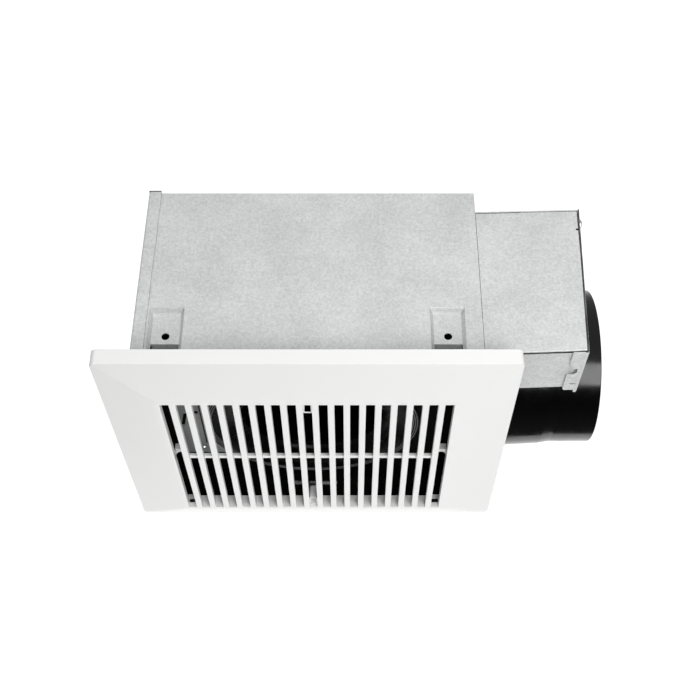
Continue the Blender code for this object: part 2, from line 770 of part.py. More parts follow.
def make_grille(axis):
    """The white grille: rim, sloping border, slotted face, ribs and two spring pegs."""
    rim_low = -RIM_HEIGHT
    bend = rim_low - (FACE_DROP - RIM_HEIGHT) * 0.6
    corner = GRILLE_CORNER
    middle_width = (GRILLE_WIDTH + FACE_WIDTH) / 2
    middle_depth = (GRILLE_DEPTH + FACE_DEPTH) / 2
    outer = [
        (0, rounded_rectangle(GRILLE_WIDTH, GRILLE_DEPTH, corner)),
        (rim_low, rounded_rectangle(GRILLE_WIDTH, GRILLE_DEPTH, corner)),
        (bend, rounded_rectangle(middle_width, middle_depth, corner)),
        (-FACE_DROP, rounded_rectangle(FACE_WIDTH, FACE_DEPTH, corner * 0.6)),
    ]
    inner_width = GRILLE_WIDTH - 2 * GRILLE_WALL
    inner_depth = GRILLE_DEPTH - 2 * GRILLE_WALL
    inner = [
        (2, rounded_rectangle(inner_width, inner_depth, corner - GRILLE_WALL)),
        (rim_low + 1.2, rounded_rectangle(inner_width, inner_depth, corner - GRILLE_WALL)),
        (bend + GRILLE_WALL, rounded_rectangle(middle_width - 1.5, middle_depth - 1.5, corner - 1)),
        (-FACE_DROP + GRILLE_WALL, rounded_rectangle(FACE_WIDTH + 4, FACE_DEPTH + 4, corner * 0.6)),
    ]
    grille = loft("grille", outer, WHITE, axis)
    hollow = loft("grille_hollow", inner)
    grid = block(
        "grille_grid",
        (-FACE_WIDTH / 2, -FACE_DEPTH / 2, -FACE_DROP - 5),
        (FACE_WIDTH / 2, FACE_DEPTH / 2, -FACE_DROP + SLAT_DEPTH),
    )
    cut(hollow, grid)
    cut(grille, hollow, slot_cutter())
    join(grille, *end_walls(), *grille_ribs())
    cut(grille, *end_windows())


def end_walls():
    """The high walls that stand on the face all round the slots."""
    walls = []
    for side in (-1, 1):
        near, far = sorted((side * FIELD_DEPTH / 2, side * (FIELD_DEPTH / 2 + END_WALL_THICK)))
        low = (FIELD_MIDDLE - FIELD_WIDTH / 2 - 1, near, -FACE_DROP + 1)
        high = (FIELD_MIDDLE + FIELD_WIDTH / 2 + 1, far, END_WALL_TOP)
        walls.append(block(f"end_wall_{side}", low, high))
        edge = FIELD_MIDDLE + side * FIELD_WIDTH / 2
        near, far = sorted((edge, edge + side * END_WALL_THICK))
        low = (near, -FIELD_DEPTH / 2 - 1, -FACE_DROP + 1)
        high = (far, FIELD_DEPTH / 2 + 1, END_WALL_TOP)
        walls.append(block(f"side_wall_{side}", low, high))
    return walls


def slot_cutter():
    """All the slots, as one set of boxes that are apart."""
    bm = bmesh.new()
    size = metres((SLOT_WIDTH, FIELD_DEPTH, SLAT_DEPTH + 10))
    for centre in slot_centres():
        made = bmesh.ops.create_cube(bm, size=1.0)["verts"]
        bmesh.ops.scale(bm, vec=size, verts=made)
        bmesh.ops.translate(bm, vec=metres((centre, 0, -FACE_DROP + SLAT_DEPTH / 2)), verts=made)
    return add("grille_slots", mesh_of("grille_slots", bm), None)


def grille_ribs():
    """The rib across the slots, the outer slots' raised bridges, and the spring pegs in the middle slot."""
    centres = slot_centres()
    half = SLOT_WIDTH / 2 + 1
    low = (centres[1] - half, RIB_FRONT, -24)
    high = (centres[-2] + half, RIB_FRONT + 5, -21)
    ribs = [block("centre_rib", low, high)]
    for index in (0, -1):
        low = (centres[index] - half, RIB_FRONT, -17)
        high = (centres[index] + half, RIB_FRONT + 6, BRIDGE_TOP)
        ribs.append(block(f"end_bridge_{index}", low, high))
        for side in (-1, 1):
            near, far = sorted((side * SLOT_WIDTH / 2, side * half))
            low = (centres[index] + near, RIB_FRONT, 1 - FACE_DROP)
            high = (centres[index] + far, RIB_FRONT + 6, BRIDGE_TOP)
            ribs.append(block(f"bridge_post_{index}_{side}", low, high))
    for side in (-1, 1):
        near, far = sorted((side * BOSS_NEAR, side * (FIELD_DEPTH / 2 + 1)))
        low = (FIELD_MIDDLE - half, near, -25)
        high = (FIELD_MIDDLE + half, far, END_WALL_TOP + 3)
        ribs.append(block(f"spring_boss_{side}", low, high))
        near, far = sorted((side * (SPRING_Y - 7), side * (SPRING_Y - 4)))
        top = SPRING_PEG_Z + SPRING_PEG_RADIUS + 2
        ribs.append(block(f"spring_upright_{side}", (-4, near, 1 - FACE_DROP), (4, far, top)))
        start = (0, side * (SPRING_Y - 5), SPRING_PEG_Z)
        end = (0, side * (SPRING_Y + 5.5), SPRING_PEG_Z)
        ribs.append(rod(f"spring_peg_{side}", start, end, SPRING_PEG_RADIUS, sides=SMALL_STEPS))
    return ribs


def end_windows():
    """The small windows through the end walls of the two outer slots."""
    windows = []
    for index in (0, -1):
        centre = slot_centres()[index]
        for side in (-1, 1):
            near, far = sorted((side * (FIELD_DEPTH / 2 - 1), side * (FIELD_DEPTH / 2 + END_WALL_THICK + 1)))
            low = (centre - SLOT_WIDTH / 2, near, -23)
            high = (centre + SLOT_WIDTH / 2, far, -20)
            windows.append(block(f"end_window_{index}_{side}", low, high))
    return windows


def make_grille_spring(name, side, axis):
    """A torsion spring: two legs in a V from a coil on the grille's peg, with hooked ends."""
    coil_radius = SPRING_PEG_RADIUS + 1.4
    turns = 1.5
    pitch = 1.9
    start_y = SPRING_Y * side - side * turns * pitch / 2
    leg_top = 50.0
    spread = 13.0
    hook = 18.0
    steps = 18
    coil = []
    for step in range(steps + 1):
        angle = math.pi + 2 * math.pi * turns * step / steps
        y = start_y + side * pitch * turns * step / steps
        coil.append((coil_radius * math.cos(angle), y, SPRING_PEG_Z + coil_radius * math.sin(angle)))
    left = [(-hook, start_y, leg_top + 1), (-spread - 1, start_y, leg_top + 2), (-spread, start_y, leg_top)]
    end_y = start_y + side * pitch * turns
    right = [(spread, end_y, leg_top), (spread + 1, end_y, leg_top + 2), (hook, end_y, leg_top + 1)]
    wire(name, left + coil + right, 0.8, SPRING_STEEL, axis)


# ---------------------------------------------------------------- blower


def scroll_path(offset):
    """The scroll's outline seen from above, moved outwards by the offset."""
    points = []
    for step in range(SCROLL_STEPS + 1):
        share = step / SCROLL_STEPS
        angle = SCROLL_START_ANGLE + (SCROLL_END_ANGLE - SCROLL_START_ANGLE) * share
        radius = SCROLL_START_RADIUS + (SCROLL_END_RADIUS - SCROLL_START_RADIUS) * share + offset
        points.append((radius * math.cos(angle), radius * math.sin(angle)))
    tongue_y = SCROLL_START_RADIUS * math.sin(SCROLL_START_ANGLE) - offset
    points[0] = (SCROLL_START_RADIUS * math.cos(SCROLL_START_ANGLE) + offset * 0.5, tongue_y)
    outlet_x = BLOWER_RIGHT + (4 if offset == 0 else 0)
    points.append((outlet_x, SCROLL_END_RADIUS + offset))
    points.append((outlet_x, tongue_y))
    return list(reversed(points))


def make_blower_scroll():
    """The black scroll: a spiral wall and a top, open below and towards the duct."""
    low = DECK_Z + DECK_THICKNESS + GAP
    scroll = flat("blower_scroll", [scroll_path(SCROLL_WALL)], low, SCROLL_TOP, BLACK)
    hollow = flat("scroll_hollow", [scroll_path(0)], DECK_Z, SCROLL_TOP - SCROLL_WALL)
    opening = rod("motor_opening", (0, 0, SCROLL_TOP - 6), (0, 0, SCROLL_TOP + 4), 56, sides=ROUND_STEPS)
    cut(scroll, hollow, opening)


def deck_outline(inset):
    """The deck seen from above, or the same drawn in by the inset: notched in front and behind."""
    left, right = DECK_LEFT + inset, BLOWER_RIGHT - inset
    edge, notch = DECK_Y - inset, DECK_NOTCH_Y - inset
    half = DECK_NOTCH_HALF + inset
    back = [(right, edge), (half, edge), (half, notch), (-half, notch), (-half, edge), (left, edge)]
    return [(x, -y) for x, y in reversed(back)] + back


def make_blower_deck():
    """The black plate that closes the housing under the scroll, with the inlet ring's round opening.

    Its notches in front and behind leave room for the springs. Its edges are turned down, except at the
    right, where the end panel's ledge is.
    """
    outlines = [deck_outline(0), circle((0, 0), RING_MOUTH + 1, 40)]
    deck = flat("blower_deck", outlines, DECK_Z, DECK_Z + DECK_THICKNESS, BLACK)
    edges = [deck_outline(0), deck_outline(1.0)]
    skirt = flat("deck_skirt", edges, DECK_SKIRT_LOW, DECK_Z + DECK_THICKNESS / 2)
    reach = LEDGE_Y + 2
    cut(skirt, block("skirt_gap", (BLOWER_RIGHT - 12, -reach, 0), (BLOWER_RIGHT + 1, reach, DECK_Z + 5)))
    join(deck, skirt)
    for name, seat in (deck_screw_seats("left") | deck_screw_seats("right")).items():
        screw_hole(deck, "deck_hole_" + name, seat, (0, 0, 1))


def make_blower_bracket():
    """The galvanised plate that stiffens the deck's left end, cut round the inlet ring."""
    low = BRACKET_TOP - SHEET
    left = BRACKET_LEFT
    arc_radius = RING_OUTER + 0.8
    front, back = -60.0, 58.0
    start = math.atan2(back, -math.sqrt(arc_radius**2 - back**2))
    end = math.atan2(front, -math.sqrt(arc_radius**2 - front**2)) + 2 * math.pi
    steps = 14
    arc = [start + (end - start) * step / steps for step in range(steps + 1)]
    outline = [(left, front), (left, back)]
    outline += [(arc_radius * math.cos(turn), arc_radius * math.sin(turn)) for turn in arc]
    slanted_slit = [(-118.0, -22.0), (-114.8, -22.0), (-119.4, 1.0), (-122.4, 1.0)]
    window = rectangle((-111.5, -26.5), (-104.6, -20.5))
    long_slit = rectangle((-103.2, -40.0), (-102.0, 40.0))
    plate = flat("blower_bracket", [outline, slanted_slit, window, long_slit], low, BRACKET_TOP, GALVANISED)
    for name, seat in deck_screw_seats("left").items():
        screw_hole(plate, "bracket_hole_" + name, seat, (0, 0, 1))


def make_inlet_ring():
    """The bell-mouth ring under the deck, which leads the air into the impeller."""
    low = DECK_Z - 2.0
    top = DECK_Z - GAP
    throat_z = 22.5
    reach = RING_MOUTH - RING_THROAT
    steps = 4
    lower = []
    upper = []
    for step in range(steps + 1):
        angle = math.pi / 2 * step / steps
        across, up = math.sin(angle), math.cos(angle)
        lower.append((RING_MOUTH - reach * across, throat_z - (throat_z - low) * up))
        upper.append((RING_MOUTH - (reach - 1.6) * across, throat_z - (throat_z - top) * up))
    profile = [(RING_OUTER, top), (RING_OUTER, low), *lower, *reversed(upper)]
    turned("inlet_ring", profile, BLACK, steps=40)


def make_impeller(axis):
    """The wheel: a dished back plate with a hub, and a ring of leaning blades round an open middle."""
    profile = [
        (IMPELLER_OUTER, IMPELLER_TOP),
        (IMPELLER_OUTER, IMPELLER_BOTTOM),
        (IMPELLER_INNER, IMPELLER_BOTTOM),
        (IMPELLER_INNER, IMPELLER_TOP - 3),
        (65.5, IMPELLER_TOP - 3),
        (47.0, 107.5),
        (9.0, 107.5),
        (9.0, 100.0),
        (SHAFT_BORE, 100.0),
        (SHAFT_BORE, 114.0),
        (9.0, 114.0),
        (9.0, 110.0),
        (45.5, 110.0),
        (64.0, IMPELLER_TOP),
    ]
    wheel = turned("impeller", profile, BLACK, steps=40, parent=axis)
    pitch = 2 * math.pi / BLADE_COUNT
    gaps = []
    lean = math.radians(7)
    for blade in range(BLADE_COUNT):
        corners = []
        for radius, turn in ((IMPELLER_INNER - 2, 0), (IMPELLER_OUTER + 2, lean)):
            thick = BLADE_THICKNESS / radius / 2
            corners.append((radius, blade * pitch + turn + thick))
            corners.append((radius, (blade + 1) * pitch + turn - thick))
        order = (corners[0], corners[2], corners[3], corners[1])
        gaps.append([(radius * math.cos(angle), radius * math.sin(angle)) for radius, angle in order])
    cut(wheel, flat("blade_gaps", gaps, IMPELLER_BOTTOM + 3.5, IMPELLER_TOP - 5))


# ---------------------------------------------------------------- motor


def motor_screw_angles():
    return [math.radians(angle) for angle in (30, 150, 270)]


def on_circle(radius, angle, z):
    return (radius * math.cos(angle), radius * math.sin(angle), z)


def make_motor_cans():
    """The motor's two half shells, each with a boss for its bearing."""
    wall = 1.2
    lower = [
        (54.0, CAN_SPLIT),
        (54.0, CAN_SPLIT - 1.2),
        (CAN_RADIUS, CAN_SPLIT - 1.2),
        (CAN_RADIUS, CAN_BOTTOM + 3),
        (CAN_RADIUS - 3, CAN_BOTTOM),
        (SHAFT_RADIUS + 0.5, CAN_BOTTOM),
        (SHAFT_RADIUS + 0.5, CAN_BOTTOM + wall),
        (8.3, CAN_BOTTOM + wall),
        (8.3, CAN_BOTTOM + 9),
        (10.3, CAN_BOTTOM + 9),
        (10.3, CAN_BOTTOM + wall),
        (CAN_RADIUS - 3.4, CAN_BOTTOM + wall),
        (CAN_RADIUS - wall, CAN_BOTTOM + 3.4),
        (CAN_RADIUS - wall, CAN_SPLIT),
    ]
    can_lower = turned("motor_can_lower", lower, MOTOR_PAINT, steps=32)
    base = CAN_SPLIT + GAP
    upper = [
        (0, CAN_TOP),
        (CAN_RADIUS - 3, CAN_TOP),
        (CAN_RADIUS, CAN_TOP - 3),
        (CAN_RADIUS, base),
        (CAN_RADIUS - wall, base),
        (CAN_RADIUS - wall, CAN_TOP - 3.4),
        (CAN_RADIUS - 3.4, CAN_TOP - wall),
        (10.3, CAN_TOP - wall),
        (10.3, CAN_TOP - 8),
        (8.3, CAN_TOP - 8),
        (8.3, CAN_TOP - wall),
        (0, CAN_TOP - wall),
    ]
    turned("motor_can_upper", upper, MOTOR_PAINT, closed=False, steps=32)
    for index, angle in enumerate(motor_screw_angles()):
        hole = rod(
            f"can_screw_hole_{index}",
            on_circle(MOTOR_SCREW_CIRCLE, angle, CAN_SPLIT - 4),
            on_circle(MOTOR_SCREW_CIRCLE, angle, CAN_SPLIT + 2),
            2.3,
            sides=SMALL_STEPS,
        )
        cut(can_lower, hole)


def make_motor_inside(axis):
    """What turns and what stands inside the cans."""
    core_low, core_high = 130.0, 156.0
    rotor_low, rotor_high = core_low - 1, core_high + 1
    rotor = [(23.4, rotor_high), (23.4, rotor_low), (SHAFT_BORE, rotor_low), (SHAFT_BORE, rotor_high)]
    turned("motor_rotor", rotor, LAMINATION, steps=24, parent=axis)
    rod("motor_shaft", (0, 0, 92), (0, 0, CAN_TOP - 2), SHAFT_RADIUS, STEEL, sides=16, parent=axis)
    core = [(38.2, core_high), (38.2, core_low), (24.2, core_low), (24.2, core_high)]
    turned("stator_core", core, LAMINATION, steps=24)
    windings = (("winding_lower", 121.5, core_low - GAP), ("winding_upper", core_high + GAP, 163.0))
    for name, low, high in windings:
        coil = [(34.5, high), (36.5, high - 2), (36.5, low + 2), (34.5, low), (27.0, low), (27.0, high)]
        turned(name, coil, COPPER, steps=20)
    for name, low in (("bearing_lower", CAN_BOTTOM + 1.5), ("bearing_upper", CAN_TOP - 7.5)):
        bush = [(8.0, low + 6), (8.0, low), (SHAFT_BORE, low), (SHAFT_BORE, low + 6)]
        turned(name, bush, BRONZE, steps=16)
    nut = circle((0, 0), 7.5, 6)
    flat("impeller_nut", [nut, circle((0, 0), SHAFT_BORE, 16)], 94, 99.6, STEEL, parent=axis)


def make_motor_mount():
    """The plate over the scroll's opening, and the rubber-mounted screws that hang the motor from it."""
    low = SCROLL_TOP + GAP
    high = low + 1.2
    holes = [circle((0, 0), CAN_RADIUS + 1, 32)]
    for angle in motor_screw_angles():
        holes.append(circle(on_circle(MOTOR_SCREW_CIRCLE, angle, 0)[:2], 2.3, SMALL_STEPS))
    flat("motor_mount_plate", [circle((0, 0), MOUNT_PLATE_RADIUS, 32), *holes], low, high, GALVANISED)
    for index, angle in enumerate(motor_screw_angles(), start=1):
        seat = on_circle(MOTOR_SCREW_CIRCLE, angle, high + GAP)
        screw_fastener(f"motor_screw_{index}", seat, (0, 0, -1), 12.0)
        sleeve = [(4.6, low - GAP), (4.6, CAN_SPLIT + GAP), (2.3, CAN_SPLIT + GAP), (2.3, low - GAP)]
        turned(f"isolator_{index}", sleeve, RUBBER, on_circle(MOTOR_SCREW_CIRCLE, angle, 0), steps=16)


def make_run_capacitor():
    """The motor's run capacitor, an oval case on top of the scroll."""
    low = SCROLL_TOP + GAP
    middle_x = -84.0
    outline = [(middle_x + x, y) for x, y in rounded_rectangle(22, 46, 10.9, 6)]
    flat("run_capacitor", [outline], low, low + 13, CAPACITOR_CASE)


# ---------------------------------------------------------------- wiring


def make_wiring():
    """The socket and plug between the motor and the wiring box, and the leads at each side of them."""
    y, z = RECEPTACLE_Y, RECEPTACLE_Z
    body = block("fan_receptacle", (144, y - 14, z - 11), (159, y + 14, z + 11), BLACK)
    flange = block("receptacle_flange", (144, y - 18, z - 15), (BLOWER_RIGHT, y + 18, z + 15))
    join(body, flange)
    block("motor_plug", (127, y - 12, z - 9), (143.7, y + 12, z + 9), WHITE)
    motor_route = [
        (126.7, y, z),
        (119, y, z + 1),
        (112, y + 2, z + 9),
        (108, y + 5, z + 25),
        (105, y + 11, z + 42),
        (96, y + 22, z + 53),
        (78, y + 38, z + 55),
        (56, y + 52, z + 55),
        (33, y + 64.5, z + 55),
    ]
    wire("motor_lead", smooth_route(motor_route, 3), 2.4, BLACK_LEAD)
    block("terminal_block", (151.2, y - 16, 44), (166, y + 16, 78), WHITE)
    lead_start_x = 159.3
    leads = (
        ("lead_live", BLACK_LEAD, -8),
        ("lead_neutral", WHITE_LEAD, 4),
    )
    for name, look, side in leads:
        route = [
            (lead_start_x, y + side, z),
            (168, y + side, z - 2),
            (174, y + side, z - 14),
            (170, y + side, z - 28),
            (162, y + side, z - 36),
            (158, y + side, 79.2),
        ]
        wire(name, smooth_route(route, 3), 1.4, look)
    ground_route = [
        (158, y + 12, 42.9),
        (159, y + 12, 38),
        (163, y + 12, 33),
        (165, y + 9, 28),
        (161, y + 4, 25.5),
        (156.5, y + 4, 25.5),
    ]
    wire("lead_ground", smooth_route(ground_route, 3), 1.4, GREEN_LEAD)
    screw_fastener("ground_screw", (151.4, GROUND_SCREW_Y, GROUND_SCREW_Z), (-1, 0, 0), 4.0, GREEN_SCREW)


def make_cover_fasteners():
    """The cover's screw, the knockout in the wiring box and the collar's four screws."""
    screw_fastener("cover_screw", cover_screw_seat(), COVER_SCREW_RUN, 6.0, head_radius=4.6)
    disc = (KNOCKOUT_X, RECEPTACLE_Y, 163.75), (KNOCKOUT_X, RECEPTACLE_Y, 164.5)
    rod("cable_knockout", *disc, 11.0, GALVANISED)
    seat_x = HOUSING_X + COLLAR_FLANGE_THICKNESS + 2 * GAP
    for name, (y, z) in collar_screw_places().items():
        screw_fastener(name, (seat_x, y, z), (-1, 0, 0), 5.4, head_radius=3.0)


def deck_screw_seats(end):
    """The seats of the two screws under the deck at its left or right end, by name."""
    x, y = {"left": (-106.0, 46.0), "right": (141.0, 100.0)}[end]
    low = BRACKET_TOP - SHEET - GAP
    return {f"deck_screw_{end}_front": (x, -y, low), f"deck_screw_{end}_back": (x, y, low)}


def make_deck_screws():
    """Two screws at each end that hold the deck to its bracket and to the right-hand ledge."""
    for name, seat in (deck_screw_seats("left") | deck_screw_seats("right")).items():
        screw_fastener(name, seat, (0, 0, 1), 5.1, head_radius=3.4)


def main():
    grille_axis = axis_empty("grille_axis", (0, 0, 0))
    impeller_axis = axis_empty("impeller_axis", (0, 0, CAN_BOTTOM))
    damper_axis = axis_empty("damper_axis", (DAMPER_PIN_X, DUCT_Y, DAMPER_PIN_Z))
    make_housing_wrapper()
    make_housing_end_left()
    make_housing_end_right()
    make_spring_bracket("spring_bracket_front", -1)
    make_spring_bracket("spring_bracket_back", 1)
    make_ceiling_gasket()
    make_duct_collar()
    make_damper(damper_axis)
    make_wiring_box()
    make_wiring_box_cover()
    make_grille(grille_axis)
    make_grille_spring("grille_spring_front", -1, grille_axis)
    make_grille_spring("grille_spring_back", 1, grille_axis)
    make_blower_scroll()
    make_blower_deck()
    make_blower_bracket()
    make_inlet_ring()
    make_impeller(impeller_axis)
    make_motor_cans()
    make_motor_inside(impeller_axis)
    make_motor_mount()
    make_run_capacitor()
    make_wiring()
    make_cover_fasteners()
    make_deck_screws()


main()
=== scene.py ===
"""The looks of the bathroom extractor fan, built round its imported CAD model.

Sizes and places in this script are in millimetres, in the model's own frame, and MM turns them into
metres where a mesh is made. Most are read from the CAD nodes' boxes.
"""

import json
import math

import bmesh
import bpy
from mathutils import Matrix, Vector


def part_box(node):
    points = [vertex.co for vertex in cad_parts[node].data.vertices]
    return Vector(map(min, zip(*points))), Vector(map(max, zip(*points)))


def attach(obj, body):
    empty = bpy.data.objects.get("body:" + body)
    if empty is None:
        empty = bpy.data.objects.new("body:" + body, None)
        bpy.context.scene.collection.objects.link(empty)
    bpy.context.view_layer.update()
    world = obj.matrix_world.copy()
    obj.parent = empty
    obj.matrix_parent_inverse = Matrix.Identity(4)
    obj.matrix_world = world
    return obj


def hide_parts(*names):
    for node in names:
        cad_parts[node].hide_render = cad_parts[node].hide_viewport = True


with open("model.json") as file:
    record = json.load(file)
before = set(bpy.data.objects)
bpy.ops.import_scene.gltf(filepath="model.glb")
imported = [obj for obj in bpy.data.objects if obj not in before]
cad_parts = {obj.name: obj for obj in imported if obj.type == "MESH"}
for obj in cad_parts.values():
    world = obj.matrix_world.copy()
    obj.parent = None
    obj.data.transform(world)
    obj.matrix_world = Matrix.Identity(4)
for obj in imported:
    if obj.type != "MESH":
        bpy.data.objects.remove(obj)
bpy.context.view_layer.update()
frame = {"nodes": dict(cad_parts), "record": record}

MM = 0.001


def box_mm(node):
    """A CAD node's lowest and highest corner, in millimetres."""
    low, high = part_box(node)
    return low / MM, high / MM


def spread(low, high, count):
    """Evenly spaced numbers from low to high, with count gaps between them."""
    return [low + (high - low) * index / count for index in range(count + 1)]


# ---------------------------------------------------------------- materials


class Look:
    """A procedural material: a Principled shader, and short calls that add nodes in front of it."""

    def __init__(self, name, colour, roughness, metallic=0.0):
        self.material = bpy.data.materials.new(name)
        self.material.use_nodes = True
        self.material.diffuse_color = (*colour, 1.0)
        self.tree = self.material.node_tree
        self.shader = self.tree.nodes["Principled BSDF"]
        self.shader.inputs["Base Color"].default_value = (*colour, 1.0)
        self.shader.inputs["Roughness"].default_value = roughness
        self.shader.inputs["Metallic"].default_value = metallic
        self.place = self.node("ShaderNodeTexCoord").outputs["Object"]

    def node(self, kind, **inputs):
        made = self.tree.nodes.new(kind)
        for name, value in inputs.items():
            self.feed(made.inputs[name], value)
        return made

    def feed(self, socket, value):
        """Links an output to the socket, or sets the socket's own value."""
        if isinstance(value, bpy.types.NodeSocket):
            self.tree.links.new(value, socket)
        else:
            socket.default_value = value

    def noise(self, scale, detail=2.0, rough=0.5, stretch=None):
        """A value from 0 to 1 that wanders; scale is in features per metre."""
        place = self.place
        if stretch:
            mapping = self.node("ShaderNodeMapping", Vector=place)
            mapping.inputs["Scale"].default_value = stretch
            place = mapping.outputs["Vector"]
        made = self.node("ShaderNodeTexNoise", Vector=place, Scale=scale, Detail=detail, Roughness=rough)
        return made.outputs["Fac"]

    def cells(self, scale):
        """A value from 0 to 1 that is constant over each cell of a random pattern."""
        made = self.node("ShaderNodeTexVoronoi", Vector=self.place, Scale=scale)
        return self.node("ShaderNodeSeparateColor", Color=made.outputs["Color"]).outputs["Red"]

    def between(self, value, low, high, start=0.0, end=1.0):
        """The value's stretch from start to end, spread over low to high."""
        made = self.node("ShaderNodeMapRange", Value=value)
        made.inputs["From Min"].default_value = start
        made.inputs["From Max"].default_value = end
        made.inputs["To Min"].default_value = low
        made.inputs["To Max"].default_value = high
        return made.outputs["Result"]

    def math(self, operation, first, second):
        made = self.tree.nodes.new("ShaderNodeMath")
        made.operation = operation
        self.feed(made.inputs[0], first)
        self.feed(made.inputs[1], second)
        return made.outputs["Value"]

    def mix(self, share, first, second):
        """A colour between two colours."""
        made = self.tree.nodes.new("ShaderNodeMix")
        made.data_type = "RGBA"
        self.feed(made.inputs[0], share)
        self.feed(made.inputs[6], (*first, 1.0) if isinstance(first, tuple) else first)
        self.feed(made.inputs[7], (*second, 1.0) if isinstance(second, tuple) else second)
        return made.outputs[2]

    def colour(self, value):
        self.feed(self.shader.inputs["Base Color"], value)

    def roughness(self, value):
        self.feed(self.shader.inputs["Roughness"], value)

    def bump(self, height, depth_mm, strength=1.0):
        """Surface relief as high as depth_mm where the height goes from 0 to 1."""
        made = self.node("ShaderNodeBump", Height=height, Strength=strength, Distance=depth_mm * MM)
        self.feed(self.shader.inputs["Normal"], made.outputs["Normal"])


def galvanised_look(name, tone=1.0):
    """Zinc-coated sheet: fine spangle, cloudy patches and a slightly uneven sheen."""
    # a tone below 1 gives a darker copy of the zinc, which this script uses for painted shade
    look = Look(name, (0.78 * tone, 0.79 * tone, 0.79 * tone), 0.6, 0.4)
    clouds = look.noise(22, 3, 0.6)
    grain = look.noise(420, 3, 0.65)
    spangle = look.cells(380)
    mottle = look.math("ADD", look.between(spangle, -0.5, 0.5), look.between(grain, -2.6, 2.6))
    patches = look.between(clouds, -0.16, 0.16, 0.3, 0.7)
    shade = look.math("ADD", look.between(mottle, 0.2, 0.8, -1, 1), patches)
    dark = tuple(tone * value for value in (0.62, 0.63, 0.635))
    pale = tuple(tone * value for value in (0.90, 0.91, 0.905))
    look.colour(look.mix(shade, dark, pale))
    look.roughness(look.between(spangle, 0.56, 0.68))
    look.bump(grain, 0.012)
    return look.material


def cut_edge_look():
    """The sheared edge of galvanised sheet, where bare steel shows dark."""
    look = Look("sheared_edge", (0.12, 0.12, 0.125), 0.55, 1.0)
    specks = look.noise(600, 4, 0.7)
    smears = look.between(look.noise(55, 2), 0, 1, 0.42, 0.62)
    steel = look.mix(look.between(specks, 0, 1, 0.35, 0.7), (0.05, 0.05, 0.055), (0.16, 0.155, 0.15))
    look.colour(look.mix(smears, steel, (0.34, 0.34, 0.34)))
    look.bump(look.noise(1500, 2), 0.03)
    return look.material


def black_plastic_look(name, roughness, gloss):
    """Black moulding with the faint waviness that mouldings have."""
    look = Look(name, (0.0015, 0.0015, 0.0016), roughness)
    look.shader.inputs["Specular IOR Level"].default_value = gloss
    smears = look.noise(60, 3, 0.6)
    look.roughness(look.between(smears, roughness - 0.05, roughness + 0.07, 0.3, 0.7))
    look.colour(look.mix(look.noise(900, 2), (0.001, 0.001, 0.001), (0.002, 0.002, 0.0022)))
    look.bump(look.noise(70, 1), 0.012)
    return look.material


def matt_black_look():
    """Black sheet with a matt skin."""
    look = Look("matt_black_sheet", (0.002, 0.002, 0.002), 0.6)
    look.shader.inputs["Specular IOR Level"].default_value = 0.12
    skin = look.noise(500, 3, 0.6)
    look.colour(look.mix(skin, (0.0012, 0.0012, 0.0012), (0.003, 0.003, 0.003)))
    look.roughness(look.between(skin, 0.5, 0.7, 0.3, 0.7))
    look.bump(skin, 0.01)
    return look.material


def white_plastic_look():
    """White satin moulding with a fine spark-eroded texture."""
    look = Look("white_plastic", (0.87, 0.87, 0.86), 0.38)
    look.colour(look.mix(look.noise(9, 2), (0.855, 0.857, 0.848), (0.885, 0.885, 0.878)))
    texture = look.noise(1800, 2, 0.6)
    look.roughness(look.between(texture, 0.33, 0.45, 0.3, 0.7))
    look.bump(texture, 0.006)
    return look.material


def plated_steel_look(name, colour, roughness):
    """Plated or drawn steel with fine scratches along one direction."""
    look = Look(name, colour, roughness, 1.0)
    scratches = look.noise(500, 3, 0.6, stretch=(1, 1, 14))
    look.roughness(look.between(scratches, roughness - 0.08, roughness + 0.12, 0.3, 0.7))
    dark = tuple(0.82 * value for value in colour)
    look.colour(look.mix(look.noise(240, 3), dark, colour))
    look.bump(scratches, 0.01)
    return look.material


def paint_look(name, colour, roughness):
    """Sprayed satin paint with orange peel."""
    look = Look(name, colour, roughness)
    peel = look.noise(650, 2)
    light = tuple(1.5 * value for value in colour)
    look.colour(look.mix(look.noise(80, 3), colour, light))
    look.roughness(look.between(peel, roughness - 0.06, roughness + 0.08, 0.3, 0.7))
    look.bump(peel, 0.02)
    return look.material


def lamination_look():
    """Stacked iron laminations: fine dark lines across the motor's axis."""
    look = Look("laminated_iron", (0.33, 0.33, 0.35), 0.5, 1.0)
    wave = look.node("ShaderNodeTexWave", Vector=look.place, Scale=160.0)
    wave.bands_direction = "Z"
    lines = wave.outputs["Fac"]
    look.colour(look.mix(lines, (0.16, 0.16, 0.17), (0.40, 0.40, 0.42)))
    look.bump(lines, 0.05)
    return look.material


def winding_look():
    """Enamelled copper wire, wound in fine turns."""
    look = Look("copper_wire", (0.72, 0.34, 0.18), 0.35, 1.0)
    wave = look.node("ShaderNodeTexWave", Vector=look.place, Scale=260.0, Distortion=1.5)
    wave.wave_type = "RINGS"
    wave.rings_direction = "Z"
    lines = wave.outputs["Fac"]
    look.colour(look.mix(lines, (0.35, 0.12, 0.05), (0.80, 0.38, 0.20)))
    look.bump(lines, 0.12)
    return look.material


def soft_look(name, colour, roughness, scale):
    """Rubber, foam or wire insulation: matt, with a grain of its own."""
    look = Look(name, colour, roughness)
    grain = look.noise(scale, 3, 0.6)
    light = tuple(min(1.0, 1.35 * value) for value in colour)
    look.colour(look.mix(grain, colour, light))
    look.roughness(look.between(grain, roughness - 0.08, roughness + 0.05, 0.3, 0.7))
    look.bump(grain, 0.04)
    return look.material


